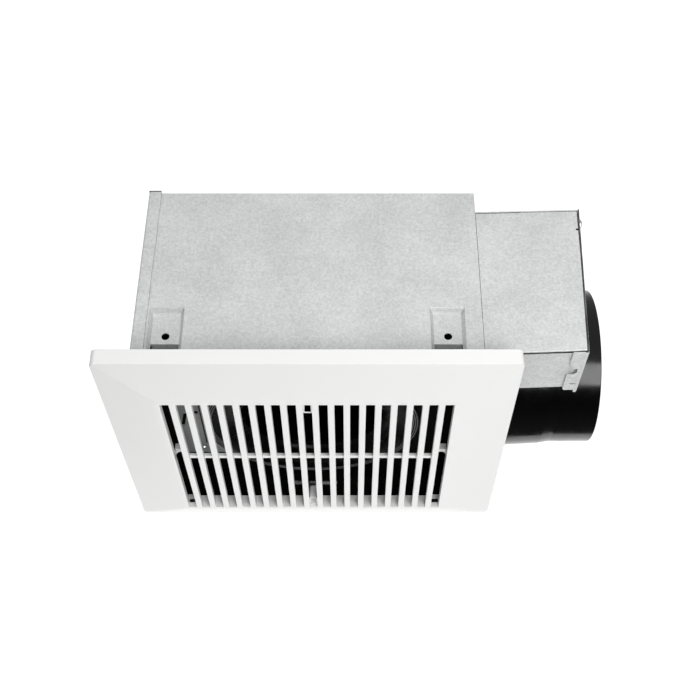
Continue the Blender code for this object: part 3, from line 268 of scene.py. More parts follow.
GALVANISED = galvanised_look("galvanised_steel")
CUT_EDGE = cut_edge_look()
BLACK = black_plastic_look("black_plastic", 0.16, 0.5)
WHITE = white_plastic_look()
MATT_BLACK = matt_black_look()
SATIN_BLACK = black_plastic_look("satin_black_plastic", 0.24, 0.2)
# light grey for the inlet ring's ridges: painted highlight
RIDGE_HIGHLIGHT = soft_look("painted_ridge_highlight", (0.20, 0.20, 0.205), 0.4, 700)
# a darker copy of the zinc for the blower bracket: painted shade
SHADED_GALVANISED = galvanised_look("shaded_galvanised_steel", 0.55)
# a darker copy of the zinc for the pockets' upper and left slopes: painted shade
SLOPE_SHADE_GALVANISED = galvanised_look("slope_shade_galvanised_steel", 0.82)
BRIGHT = plated_steel_look("bright_steel", (0.74, 0.75, 0.76), 0.24)
# CAD nodes that look different from the rest of their material slot; the bracket's darker copy of the
# zinc is painted shade
SPECIAL_LOOKS = {"blower_deck": MATT_BLACK, "ceiling_gasket": MATT_BLACK, "blower_bracket": SHADED_GALVANISED}
# the material for each material slot
LOOKS = {
    "galvanised_steel": GALVANISED,
    "black_plastic": BLACK,
    "white_plastic": WHITE,
    "bright_steel": BRIGHT,
    "spring_steel": plated_steel_look("spring_steel", (0.45, 0.45, 0.46), 0.32),
    "motor_paint": paint_look("motor_paint", (0.03, 0.03, 0.035), 0.42),
    "laminated_iron": lamination_look(),
    "copper_wire": winding_look(),
    "sintered_bronze": plated_steel_look("sintered_bronze", (0.55, 0.38, 0.20), 0.48),
    "black_rubber": soft_look("black_rubber", (0.02, 0.02, 0.02), 0.8, 900),
    "grey_foam": soft_look("grey_foam", (0.12, 0.12, 0.12), 0.92, 1400),
    "capacitor_case": plated_steel_look("capacitor_case", (0.50, 0.51, 0.52), 0.38),
    "black_lead": soft_look("black_lead", (0.015, 0.015, 0.015), 0.45, 700),
    "white_lead": soft_look("white_lead", (0.70, 0.70, 0.68), 0.45, 700),
    "green_lead": soft_look("green_lead", (0.02, 0.25, 0.07), 0.45, 700),
    "green_screw": plated_steel_look("green_screw", (0.06, 0.36, 0.13), 0.34),
}


# ---------------------------------------------------------------- mesh helpers


SMOOTH_ANGLE = 32.0
# a sheet's first material is its skin, and its second one its sheared edge
SHEARED = 1


def add(name, mesh, looks):
    """A new piece of the fan with its materials."""
    obj = bpy.data.objects.new(name, mesh)
    bpy.context.scene.collection.objects.link(obj)
    for look in looks:
        mesh.materials.append(look)
    return obj


def add_bm(name, bm, looks):
    """A new piece from a bmesh that was drawn in millimetres."""
    bmesh.ops.scale(bm, vec=(MM, MM, MM), verts=bm.verts)
    mesh = bpy.data.meshes.new(name)
    bm.to_mesh(mesh)
    bm.free()
    return add(name, mesh, looks)


def baked(obj):
    """The object's mesh with its modifiers applied."""
    graph = bpy.context.evaluated_depsgraph_get()
    mesh = bpy.data.meshes.new_from_object(obj.evaluated_get(graph))
    obj.modifiers.clear()
    obj.data = mesh
    return mesh


def settle(obj):
    """Applies the modifiers and gives round stretches smooth shading and flat ones true normals."""
    mesh = baked(obj)
    mesh.shade_smooth()
    mesh.set_sharp_from_angle(angle=math.radians(SMOOTH_ANGLE))
    weighted = obj.modifiers.new("even_normals", "WEIGHTED_NORMAL")
    weighted.keep_sharp = True
    return obj


def soften(obj, width, segments=2, angle=40.0):
    """Rounds the sharp edges."""
    bevel = obj.modifiers.new("round_edges", "BEVEL")
    bevel.width = width * MM
    bevel.segments = segments
    bevel.limit_method = "ANGLE"
    bevel.angle_limit = math.radians(angle)


def cut_with(obj, cutter):
    """Takes the cutter's shape out of the object, and removes the cutter."""
    boolean = obj.modifiers.new("cut", "BOOLEAN")
    boolean.operation = "DIFFERENCE"
    boolean.object = cutter
    baked(obj)
    bpy.data.objects.remove(cutter)


def finish_piece(obj, body, node):
    """Smooths a piece, parents it to its body, and hides the CAD node that it stands for."""
    settle(obj)
    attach(obj, body)
    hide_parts(node)


def prism_cutter(sides, radius, start, end):
    """A cylinder between two points, as a cutter."""
    run = Vector(end) - Vector(start)
    bm = bmesh.new()
    bmesh.ops.create_cone(
        bm, cap_ends=True, segments=sides, radius1=radius, radius2=radius, depth=run.length
    )
    bmesh.ops.transform(bm, matrix=run.to_track_quat("Z", "Y").to_matrix().to_4x4(), verts=bm.verts)
    bmesh.ops.translate(bm, vec=(Vector(start) + Vector(end)) / 2, verts=bm.verts)
    return add_bm("cutter", bm, [])


def filleted(points, radii, steps, closed=False):
    """A flat outline with rounded corners: one radius for all, or one for each point."""
    count = len(points)
    found = []
    for index in range(count):
        here = Vector(points[index])
        radius = radii[index] if isinstance(radii, (list, tuple)) else radii
        at_end = not closed and index in (0, count - 1)
        if at_end or radius <= 0:
            found.append(here)
            continue
        before = (Vector(points[index - 1]) - here).normalized()
        after = (Vector(points[(index + 1) % count]) - here).normalized()
        half = before.angle(after) / 2
        reach = radius / math.tan(half)
        centre = here + (before + after).normalized() * radius / math.sin(half)
        start = here + before * reach - centre
        turn = (math.pi - 2 * half) * (1 if before.cross(after) < 0 else -1)
        for step in range(steps + 1):
            angle = turn * step / steps
            cosine, sine = math.cos(angle), math.sin(angle)
            x = start.x * cosine - start.y * sine
            y = start.x * sine + start.y * cosine
            found.append(centre + Vector((x, y)))
    return found


def bridge(bm, upper, lower):
    """A band of faces between two closed loops that have as many points."""
    for index in range(len(upper)):
        after = (index + 1) % len(upper)
        bm.faces.new((upper[index], lower[index], lower[after], upper[after]))


def turned(name, profile, looks, segments, along_x=False, where=(0, 0, 0)):
    """A piece turned from a closed loop of (radius, height) points."""
    bm = bmesh.new()
    rings = []
    turns = [2 * math.pi * index / segments for index in range(segments)]
    for radius, height in profile:
        rings.append([bm.verts.new((radius * math.cos(t), radius * math.sin(t), height)) for t in turns])
    for upper, lower in zip(rings, rings[1:] + rings[:1]):
        bridge(bm, upper, lower)
    if along_x:
        bmesh.ops.rotate(bm, matrix=Matrix.Rotation(math.radians(90), 3, "Y"), verts=bm.verts)
    bmesh.ops.translate(bm, vec=where, verts=bm.verts)
    bmesh.ops.recalc_face_normals(bm, faces=bm.faces)
    return add_bm(name, bm, looks)


def surface(bm, rows, leave_out=lambda row, column: False):
    """Faces through rows that all have as many points. Returns the grid of points."""
    grid = [[bm.verts.new(point) for point in row] for row in rows]
    for row, (here, beyond) in enumerate(zip(grid, grid[1:])):
        for column in range(len(here) - 1):
            if not leave_out(row, column):
                bm.faces.new((here[column], here[column + 1], beyond[column + 1], beyond[column]))
    return grid


def face_away_from(bm, middle):
    """Turns every face so that its front looks away from a point."""
    for face in bm.faces:
        face.normal_update()
        if face.normal.dot(face.calc_center_median() - middle) < 0:
            face.normal_flip()


def sheet_metal(obj, thickness, edge=0.12):
    """Gives an open surface the sheet's thickness on its inner side, with dark sheared edges."""
    solid = obj.modifiers.new("sheet", "SOLIDIFY")
    solid.thickness = thickness * MM
    solid.offset = -1.0
    solid.use_even_offset = True
    solid.material_offset_rim = SHEARED
    soften(obj, edge, 1, 60.0)


def prism(bm, outline, low, high):
    """A solid between two heights along Z, from a flat outline that runs counter-clockwise."""
    lower = [bm.verts.new((x, y, low)) for x, y in outline]
    upper = [bm.verts.new((x, y, high)) for x, y in outline]
    bm.faces.new(list(reversed(lower)))
    bm.faces.new(upper)
    bridge(bm, upper, lower)


def prism_along_x(bm, outline, left, right):
    """A solid between two places along X, from an outline of (y, z) points."""
    near = [bm.verts.new((left, y, z)) for y, z in outline]
    far = [bm.verts.new((right, y, z)) for y, z in outline]
    bm.faces.new(near)
    bm.faces.new(list(reversed(far)))
    bridge(bm, near, far)


def prism_along_y(bm, outline, front, back):
    """A solid between two places along Y, from an outline of (x, z) points."""
    near = [bm.verts.new((x, front, z)) for x, z in outline]
    far = [bm.verts.new((x, back, z)) for x, z in outline]
    bm.faces.new(near)
    bm.faces.new(list(reversed(far)))
    bridge(bm, near, far)


def block(bm, low, high):
    """A box between two corners, inside a bmesh."""
    size = Vector(high) - Vector(low)
    made = bmesh.ops.create_cube(bm, size=1.0)["verts"]
    bmesh.ops.scale(bm, vec=size, verts=made)
    bmesh.ops.translate(bm, vec=(Vector(low) + Vector(high)) / 2, verts=made)


def rounded_rectangle(width, depth, corner, steps=8):
    """Points round a rectangle with round corners, counter-clockwise."""
    points = []
    for index, (side_x, side_y) in enumerate(((1, 1), (-1, 1), (-1, -1), (1, -1))):
        centre = (side_x * (width / 2 - corner), side_y * (depth / 2 - corner))
        for step in range(steps + 1):
            angle = math.pi / 2 * (index + step / steps)
            points.append((centre[0] + corner * math.cos(angle), centre[1] + corner * math.sin(angle)))
    return points


# ---------------------------------------------------------------- camera, light and floor


CAMERA_PLACE = (35.3, -963.0, -489.0)
CAMERA_PITCH = 31.05
CAMERA_LENS = 59.45
FLOOR_Z = -1300
FLOOR_HALF = 9000


def make_camera():
    """The photograph's camera, as its perspective gives it."""
    data = bpy.data.cameras.new("camera")
    data.lens = CAMERA_LENS
    data.sensor_width = 36.0
    camera = bpy.data.objects.new("camera", data)
    camera.location = Vector(CAMERA_PLACE) * MM
    camera.rotation_euler = (math.radians(90 + CAMERA_PITCH), 0, 0)
    bpy.context.scene.collection.objects.link(camera)
    bpy.context.scene.camera = camera


def make_softbox(name, place, aim, width, height, watts):
    """A soft light with straight edges, aimed at a point; the camera doesn't see it."""
    data = bpy.data.lights.new(name, "AREA")
    data.shape = "RECTANGLE"
    data.size = width * MM
    data.size_y = height * MM
    data.energy = watts
    light = bpy.data.objects.new(name, data)
    light.location = Vector(place) * MM
    light.rotation_euler = (Vector(aim) - Vector(place)).to_track_quat("-Z", "Y").to_euler()
    light.visible_camera = False
    bpy.context.scene.collection.objects.link(light)
    return light


def make_world():
    """A white backdrop, brighter behind the fan than in front of it and dark towards the floor."""
    world = bpy.data.worlds.new("studio")
    world.use_nodes = True
    bpy.context.scene.world = world
    tree = world.node_tree
    background = tree.nodes["Background"]
    background.inputs["Color"].default_value = (1, 1, 1, 1)
    split = tree.nodes.new("ShaderNodeSeparateXYZ")
    coordinates = tree.nodes.new("ShaderNodeTexCoord")
    tree.links.new(coordinates.outputs["Generated"], split.inputs["Vector"])

    def ramp(value, start, end, low, high):
        made = tree.nodes.new("ShaderNodeMapRange")
        made.interpolation_type = "SMOOTHSTEP"
        tree.links.new(value, made.inputs["Value"])
        for name, number in (("From Min", start), ("From Max", end), ("To Min", low), ("To Max", high)):
            made.inputs[name].default_value = number
        return made.outputs["Result"]

    def combine(operation, first, second):
        made = tree.nodes.new("ShaderNodeMath")
        made.operation = operation
        tree.links.new(first, made.inputs[0])
        tree.links.new(second, made.inputs[1])
        return made.outputs["Value"]

    depth = ramp(split.outputs["Y"], -0.1, 0.7, 0.42, 1.15)
    above_floor = ramp(split.outputs["Z"], -0.42, -0.36, 0.05, 1.0)
    around = combine("MULTIPLY", depth, above_floor)
    seen = tree.nodes.new("ShaderNodeLightPath").outputs["Is Camera Ray"]
    tree.links.new(combine("MAXIMUM", around, seen), background.inputs["Strength"])


def make_floor():
    bm = bmesh.new()
    bmesh.ops.create_grid(bm, x_segments=1, y_segments=1, size=FLOOR_HALF)
    bmesh.ops.translate(bm, vec=(0, 0, FLOOR_Z), verts=bm.verts)
    look = Look("pale_floor", (0.80, 0.80, 0.80), 0.7)
    floor = add_bm("floor", bm, [look.material])
    floor.visible_glossy = False
    floor.visible_diffuse = False


def make_studio():
    """The camera, the backdrop, the floor and three soft lights."""
    make_camera()
    make_world()
    make_floor()
    aim = (60, 0, 60)
    make_softbox("key_softbox", (430, -1010, -850), aim, 1000, 760, 13.5)
    under = make_softbox("fill_from_below", (-60, 1100, -1250), aim, 1600, 1600, 43.0)
    front = make_softbox("fill_from_front", (220, -1600, 350), aim, 1400, 1400, 8.0)
    for fill in (under, front):
        fill.visible_glossy = False
    bpy.context.scene.view_settings.view_transform = "Standard"


# ---------------------------------------------------------------- housing


# the wrapper's bend radius, and the sheet's thickness
BEND = 1.6
SHEET = 1.0
HOUSING_LOW, HOUSING_HIGH = box_mm("housing_wrapper")
POCKET_PLACES = (-123.1, 119.5)
POCKET_HALF = 15.2
POCKET_TOP = 59.6
POCKET_BOTTOM = 8.0
POCKET_DEPTH = 5.0
POCKET_SIDE_SLOPE = 3.2
POCKET_TOP_SLOPE = 4.2
POCKET_BOTTOM_SLOPE = 1.2
SLOT_HALF = 11.8
SLOT_BOTTOM = 11.0
SLOT_TOP = 24.6
LEDGE = 5.4
LEDGE_FALL = 1.6
HOLE_Z = 32.6
HOLE_RADIUS = 3.5
# how far the left end has leaned in at the top
LEFT_LEAN = 2.0
# how high the wrapper's inner side is coloured matt black: painted shade inside the housing's lower edge
SHADE_BAND_TOP = 9.0
CUTTER_REACH = 140
WRAPPER_LOOKS = [GALVANISED, CUT_EDGE, MATT_BLACK, SLOPE_SHADE_GALVANISED]


def eased(share):
    """0 to 1 with round ends."""
    share = max(0.0, min(1.0, share))
    return 0.45 * share + 0.55 * share * share * (3 - 2 * share)


def from_pocket(x):
    """How far a place is from the middle of the nearest pocket."""
    return min(abs(x - middle) for middle in POCKET_PLACES)


def dent(x, z):
    """How deep the wall is pressed in at a place on the front or the back."""
    off = from_pocket(x)
    side = eased((POCKET_HALF - off) / POCKET_SIDE_SLOPE)
    top = eased((POCKET_TOP - z) / POCKET_TOP_SLOPE)
    bottom = eased((z - POCKET_BOTTOM) / POCKET_BOTTOM_SLOPE)
    return POCKET_DEPTH * min(side, top, bottom)


def on_shaded_slope(place):
    """Whether a place is on a pocket's upper or left slope, which takes a darker copy of the zinc as
    painted shade.
    """
    x, z = place.x, place.z
    middle = min(POCKET_PLACES, key=lambda centre: abs(x - centre))
    slope_foot = POCKET_TOP - POCKET_TOP_SLOPE
    if abs(x - middle) > POCKET_HALF or not POCKET_BOTTOM < z < POCKET_TOP:
        return False
    return z > slope_foot or x < middle - POCKET_HALF + POCKET_SIDE_SLOPE


def lean_in(z):
    """How far the housing's left end stands in from upright at a height."""
    return LEFT_LEAN * z / HOUSING_HIGH.z


def wrapper_columns():
    """Places along X for the wrapper's grid: close together over the pockets' slopes."""
    half = POCKET_HALF
    inner = half - POCKET_SIDE_SLOPE
    found = {HOUSING_LOW.x, HOUSING_HIGH.x, 0.0}
    for middle in POCKET_PLACES:
        for side in (-1, 1):
            found.update(middle + side * place for place in spread(inner, half, 7))
        found.update(spread(middle - inner, middle + inner, 6))
    return sorted(found)


def wrapper_rows():
    """(y, z, inward direction) along the wrapper, from the front's lower edge to the back's."""
    half = HOUSING_HIGH.y
    top = HOUSING_HIGH.z
    heights = [HOUSING_LOW.z, 4.0]
    heights += spread(POCKET_BOTTOM, POCKET_BOTTOM + POCKET_BOTTOM_SLOPE, 4)
    heights += [SLOT_BOTTOM, 17.0, SLOT_TOP]
    heights += spread(SLOT_TOP + 5, POCKET_TOP - POCKET_TOP_SLOPE, 4)
    heights += spread(POCKET_TOP - POCKET_TOP_SLOPE, POCKET_TOP, 10)[1:]
    heights += [100.0, 140.0]
    front = [(-half, z, 1) for z in heights]
    bend_front = []
    for turn in spread(math.pi, math.pi / 2, 8):
        y = BEND * (1 + math.cos(turn)) - half
        z = BEND * (math.sin(turn) - 1) + top
        bend_front.append((y, z, 0))
    path = front + bend_front
    return path + [(-y, z, -side) for y, z, side in reversed(path)]


def make_wrapper():
    """The sheet over the front, the top and the back; inside its lower edges it is coloured matt black
    as painted shade, and the pockets' upper and left slopes take a darker copy of the zinc as painted
    shade.
    """
    columns = wrapper_columns()
    rows = []
    for y, z, side in wrapper_rows():
        row = [(x, y + side * dent(x, z) if side else y, z) for x in columns]
        row[0] = (columns[0] + lean_in(z), y, z)
        rows.append(row)

    def in_slot(row, column):
        x = (columns[column] + columns[column + 1]) / 2
        z = (rows[row][0][2] + rows[row + 1][0][2]) / 2
        flat_wall = abs(abs(rows[row][0][1]) - HOUSING_HIGH.y) < 0.01
        return flat_wall and SLOT_BOTTOM < z < SLOT_TOP and from_pocket(x) < SLOT_HALF

    bm = bmesh.new()
    surface(bm, rows, in_slot)
    bmesh.ops.recalc_face_normals(bm, faces=bm.faces)
    wrapper = add_bm("housing_wrapper_sheet", bm, WRAPPER_LOOKS)
    sheet_metal(wrapper, SHEET)
    baked(wrapper)
    for face in wrapper.data.polygons:
        # inward-facing faces near the lower edge get matt black as painted shade
        if face.center.z < SHADE_BAND_TOP * MM and face.center.y * face.normal.y < 0:
            face.material_index = WRAPPER_LOOKS.index(MATT_BLACK)
        # the pockets' upper and left slopes get the darker zinc copy: painted shade
        elif on_shaded_slope(face.center / MM):
            face.material_index = WRAPPER_LOOKS.index(SLOPE_SHADE_GALVANISED)
    for x in POCKET_PLACES:
        hole = prism_cutter(40, HOLE_RADIUS, (x, -CUTTER_REACH, HOLE_Z), (x, CUTTER_REACH, HOLE_Z))
        cut_with(wrapper, hole)
    finish_piece(wrapper, "root", "housing_wrapper")
    make_ledges()


def make_ledges():
    """The tongues bent inwards at the top of each pocket's slot."""
    floor = HOUSING_HIGH.y - POCKET_DEPTH - 0.3
    bm = bmesh.new()
    for x in POCKET_PLACES:
        for side in (-1, 1):
            outline = [
                (side * floor, SLOT_TOP),
                (side * (floor - LEDGE), SLOT_TOP - LEDGE_FALL),
                (side * (floor - LEDGE), SLOT_TOP - LEDGE_FALL + SHEET),
                (side * floor, SLOT_TOP + SHEET),
            ]
            prism_along_x(bm, outline, x - SLOT_HALF, x + SLOT_HALF)
    bmesh.ops.recalc_face_normals(bm, faces=bm.faces)
    ledges = add_bm("pocket_ledges", bm, [GALVANISED])
    soften(ledges, 0.3)
    settle(ledges)
    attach(ledges, "root")


def make_left_cap():
    """The left end: a sheet that laps round the front and back, and one with a flange on top."""
    low, high = box_mm("housing_end_left")
    flange = high.x - 0.2
    top = high.z
    corner_top = top - SHEET - 0.3
    path = filleted([(flange, low.y), (low.x, low.y), (low.x, high.y), (flange, high.y)], 2.0, 6)
    heights = spread(low.z, corner_top, 12)
    bm = bmesh.new()
    rows = []
    for z in heights:
        row = []
        for index, (x, y) in enumerate(path):
            if index in (0, len(path) - 1):
                # the sheared edge isn't quite straight
                x += 0.16 * math.sin(z * 0.11) + 0.10 * math.sin(z * 0.37 + 1)
            row.append((x + lean_in(z), y, z))
        rows.append(row)
    surface(bm, rows)
    left, right = low.x + LEFT_LEAN, flange + LEFT_LEAN - 0.1
    top_path = filleted([(left, corner_top + 0.1), (left, top), (right, top)], 1.0, 6)
    places = spread(low.y + 0.1, high.y - 0.1, 12)
    surface(bm, [[(x, y, z) for x, z in top_path] for y in places])
    face_away_from(bm, Vector((-100, 0, 90)))
    cap = add_bm("housing_left_cap", bm, [GALVANISED, CUT_EDGE])
    sheet_metal(cap, SHEET, 0.5)
    # the rounded edges take the dark sheared-edge material as well: the bare cut edge is real, and the
    # wider dark band it makes along the seams is painted shade
    cap.modifiers["round_edges"].material = SHEARED
    finish_piece(cap, "root", "housing_end_left")


# ---------------------------------------------------------------- wiring box


WIRING_LOW, WIRING_HIGH = box_mm("wiring_box")
COVER_LOW, COVER_HIGH = box_mm("wiring_box_cover")
BOX_LEFT = WIRING_LOW.x
LOW_LEFT_Z, LOW_RIGHT = WIRING_LOW.z, (236.9, 16.1)
HIGH_LEFT_Z, HIGH_RIGHT = 163.4, (WIRING_HIGH.x, WIRING_HIGH.z)
KNOCKOUT_LOW, KNOCKOUT_HIGH = box_mm("cable_knockout")
LIP = 1.6
SEAM_STEP_X = 187
NOTCH_X = 240.6
NOTCH_Z = 143.5
NOTCH_RADIUS = 1.3
KNOCKOUT_RADIUS = 11.4
GROOVE_START = 1.5
GROOVE_END = 4.0
GROOVE_DEPTH = 1.8
COVER_BOTTOM = 13.0
COVER_GAP = 0.3
COVER_BEND = 1.4


def lean_x(z):
    """The wiring box's outer end, which leans out."""
    share = (z - LOW_RIGHT[1]) / (HIGH_RIGHT[1] - LOW_RIGHT[1])
    return LOW_RIGHT[0] + (HIGH_RIGHT[0] - LOW_RIGHT[0]) * share


def floor_z(x):
    """The height of the box's floor, which runs slightly uphill."""
    return LOW_LEFT_Z + (LOW_RIGHT[1] - LOW_LEFT_Z) * (x - BOX_LEFT) / (LOW_RIGHT[0] - BOX_LEFT)


def roof_z(x):
    """The height of the box's roof, which runs slightly uphill."""
    return HIGH_LEFT_Z + (HIGH_RIGHT[1] - HIGH_LEFT_Z) * (x - BOX_LEFT) / (HIGH_RIGHT[0] - BOX_LEFT)


def box_wall_row(y, rise):
    """Points along X at a height over the floor, or under the roof where there is no rise."""
    at_front = y == WIRING_LOW.y
    row = []
    for share in spread(0, 1, 24):
        x = BOX_LEFT + share * (LOW_RIGHT[0] - BOX_LEFT)
        if rise is None:
            seam = 0.75 if x < SEAM_STEP_X else 0.4
            z = roof_z(x) - LIP - seam if at_front else roof_z(x) - SHEET - 0.2
        else:
            z = floor_z(x) + rise
        set_back = 0.7 if at_front and z > NOTCH_Z else 0
        right = lean_x(z) - 0.35 - set_back
        row.append((BOX_LEFT + share * (right - BOX_LEFT), y, z))
    return row


def make_wiring_box():
    """One sheet for the front, floor and back, one for the roof, and one against the housing."""
    front, back = WIRING_LOW.y, WIRING_HIGH.y
    bm = bmesh.new()
    groove = [
        (front + GROOVE_START, 0),
        (front + GROOVE_START, GROOVE_DEPTH),
        (front + GROOVE_END, GROOVE_DEPTH),
        (front + GROOVE_END, 0),
    ]
    radii = [0, 0.9, 0, 0.3, 0.3, 0, 1.4, 0]
    bend = filleted([(front, 30), (front, 0), *groove, (back, 0), (back, 30)], radii, 6)
    path = [(front, None), (front, 100), (front, 60), *bend, (back, 60), (back, None)]
    surface(bm, [box_wall_row(y, rise) for y, rise in path])
    roof = filleted([(front, -LIP), (front, 0), (back, 0), (back, -LIP)], 0.5, 4)
    columns = spread(BOX_LEFT, HIGH_RIGHT[0] - 0.1, 24)
    surface(bm, [[(x, y, roof_z(x) + drop) for x in columns] for y, drop in roof])
    depths = spread(front + 0.2, back - 0.2, 4)
    surface(bm, [[(BOX_LEFT, y, z) for y in depths] for z in spread(13.0, 163.0, 6)])
    # the groove's inner faces take the dark sheared-edge material: painted shade in the groove
    for face in bm.faces:
        centre = face.calc_center_median()
        in_groove = front + GROOVE_START - 0.1 < centre.y < front + GROOVE_END + 0.1
        if in_groove and 0.5 < centre.z - floor_z(centre.x) < 3:
            face.material_index = SHEARED
    face_away_from(bm, Vector((196, (front + back) / 2, 90)))
    box = add_bm("wiring_box_sheets", bm, [GALVANISED, CUT_EDGE])
    sheet_metal(box, SHEET * 0.9, 0.1)
    baked(box)
    notch = prism_cutter(32, NOTCH_RADIUS, (NOTCH_X, front - 3, NOTCH_Z), (NOTCH_X, front + 3, NOTCH_Z))
    cut_with(box, notch)
    middle = (KNOCKOUT_LOW + KNOCKOUT_HIGH) / 2
    hole = prism_cutter(64, KNOCKOUT_RADIUS, (middle.x, middle.y, 158), (middle.x, middle.y, 172))
    cut_with(box, hole)
    finish_piece(box, "root", "wiring_box")


def make_cover():
    """The cover over the box's outer end, and the hooked tab under the box."""
    front, back = COVER_LOW.y, COVER_HIGH.y
    bottom = COVER_BOTTOM
    bend = COVER_BEND
    path = [(lean_x(z) + COVER_GAP + SHEET, z) for z in spread(COVER_HIGH.z, bottom + bend, 8)]
    corner_x = lean_x(bottom) + COVER_GAP + SHEET
    for turn in spread(0, math.pi / 2, 6)[1:]:
        path.append((corner_x - bend + bend * math.cos(turn), bottom + bend - bend * math.sin(turn)))
    path.append((corner_x - 3.5, bottom))
    bm = bmesh.new()
    surface(bm, [[(x, y, z) for y in spread(front, back, 3)] for x, z in path])
    for face in bm.faces:
        face.normal_update()
        if face.normal.dot(Vector((1, 0, -1))) < 0:
            face.normal_flip()
    cover = add_bm("wiring_cover_plate", bm, [GALVANISED, CUT_EDGE])
    sheet_metal(cover, SHEET)
    settle(cover)
    tab = make_tab(corner_x - 3.2, front, bottom)
    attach(tab, "root")
    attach(cover, "root")
    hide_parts("wiring_box_cover")


def make_tab(right, front, bottom):
    """The tab: a hooked notch on its inner edge and a pressed slit near its far end."""
    left = COVER_LOW.x
    outline = [
        (right, front),
        (right, front + 64.5),
        (left + 1.5, front + 64.5),
        (left, front + 62.5),
        (left, front + 43),
        (left - 0.3, front + 37.2),
        (left + 4.8, front + 38),
        (left + 8.4, front + 34),
        (left + 8.0, front + 28),
        (left + 5.0, front + 27.5),
        (left + 3.2, front + 26),
        (left, front + 18.5),
        (left, front + 0.2),
    ]
    radii = [0, 1.5, 1.5, 1.0, 1.0, 0.6, 1.5, 1.8, 0.6, 1.0, 1.0, 2.0, 0.5]
    points = filleted(outline, radii, 4, closed=True)
    bm = bmesh.new()
    prism(bm, points, bottom, bottom + SHEET * 0.9)
    bmesh.ops.recalc_face_normals(bm, faces=bm.faces)
    tab = add_bm("wiring_cover_tab", bm, [GALVANISED])
    slit = add_slit_cutter(232, front + 53.5, bottom)
    cut_with(tab, slit)
    soften(tab, 0.15, 2, 50)
    return settle(tab)


def add_slit_cutter(x, y, z):
    """A short slit with round ends, as a cutter."""
    corners = [(x - 2.7, y - 1.0), (x + 2.7, y - 1.0), (x + 2.7, y + 1.0), (x - 2.7, y + 1.0)]
    bm = bmesh.new()
    prism(bm, filleted(corners, 0.9, 4, closed=True), z - 2, z + 3)
    return add_bm("cutter", bm, [])


# ---------------------------------------------------------------- duct collar


COLLAR_LOW, COLLAR_HIGH = box_mm("duct_collar")
DUCT_Y = (COLLAR_LOW.y + COLLAR_HIGH.y) / 2
DUCT_Z = (COLLAR_LOW.z + COLLAR_HIGH.z) / 2


def make_collar():
    """The collar: flange, conical base, step and plain end, and inside the lip behind the damper."""
    base = COLLAR_LOW.x
    end = COLLAR_HIGH.x
    outline = [
        (75.0, end),
        (75.0, 230.5),
        (76.8, 220.0),
        (80.3, base + 2.5),
        (84.0, base + 2.5),
        (84.0, base),
        (72.5, base),
        (72.5, 183.0),
        (62.0, 183.0),
        (62.0, 186.0),
        (72.5, 186.0),
        (72.5, end),
    ]
    radii = [0.8, 9.0, 9.0, 1.2, 0.8, 0.2, 0.2, 0.6, 0.5, 0.5, 0.6, 0.8]
    profile = filleted(outline, radii, 4, closed=True)
    collar = turned("duct_collar_moulding", profile, [BLACK], 192, True, (0, DUCT_Y, DUCT_Z))
    finish_piece(collar, "root", "duct_collar")


# ---------------------------------------------------------------- grille


GRILLE_LOW, GRILLE_HIGH = box_mm("grille")
GRILLE_WIDTH = GRILLE_HIGH.x - GRILLE_LOW.x
GRILLE_DEPTH = GRILLE_HIGH.y - GRILLE_LOW.y
FACE_Z = GRILLE_LOW.z
# the rim and the sloping border, which starts steeper than a plain slope by the bulge
RIM_Z = -13.7
RIM_CORNER = 5.0
RIM_FILLET = 0.9
RIM_WALL = 2.2
BORDER_FALL = 14.3
BULGE = 1.08
FACE_WIDTH = 258.0
FACE_DEPTH = 224.0
FACE_CORNER = 4.2
# the field of slats; an outer half is half a slot with a little of the walls beside it
FIELD_MIDDLE = -0.9
FIELD_HALF = 124.3
FIELD_Y = 107.0
SLOT_COUNT = 19
SLOT_WIDTH = 7.7
SLAT_TOP_Z = -23.5
OUTER_HALF = SLOT_WIDTH / 2 + 0.5
# the walls round the slots, with windows in the outer slots' ends
END_WALL_TOP = -15.0
END_WALL_THICK = 2.0
SIDE_WALL_TOP = -21.3
WINDOW_LOW = -22.5
WINDOW_HIGH = -18.4
BAR_TOP = -13.9
# the springs' bosses, and their pegs on uprights
BOSS_ENDS = {-1: 87.5, 1: 91.0}
BOSS_LOW = -25.0
BOSS_TOP = -12.0
BOSS_WALL = 1.1
PEG_Z = -8.0
PEG_RADIUS = 3.0
PEG_ENDS = (111, 121.5)
UPRIGHT_ENDS = (109, 112)
UPRIGHT_HALF = 4
UPRIGHT_TOP = -3
# the rib across the slots, and the outer slots' bridges
RIB_FRONT = -2
RIB_BACK = 3
BRIDGE_LOW = -17
BRIDGE_TOP = -11.2
BRIDGE_BACK = 7.6
ARCH_RADIUS = 3.6


def slot_centres():
    """The middles of the slots along X."""
    pitch = (2 * FIELD_HALF - SLOT_WIDTH) / (SLOT_COUNT - 1)
    return [FIELD_MIDDLE + pitch * (index - (SLOT_COUNT - 1) / 2) for index in range(SLOT_COUNT)]


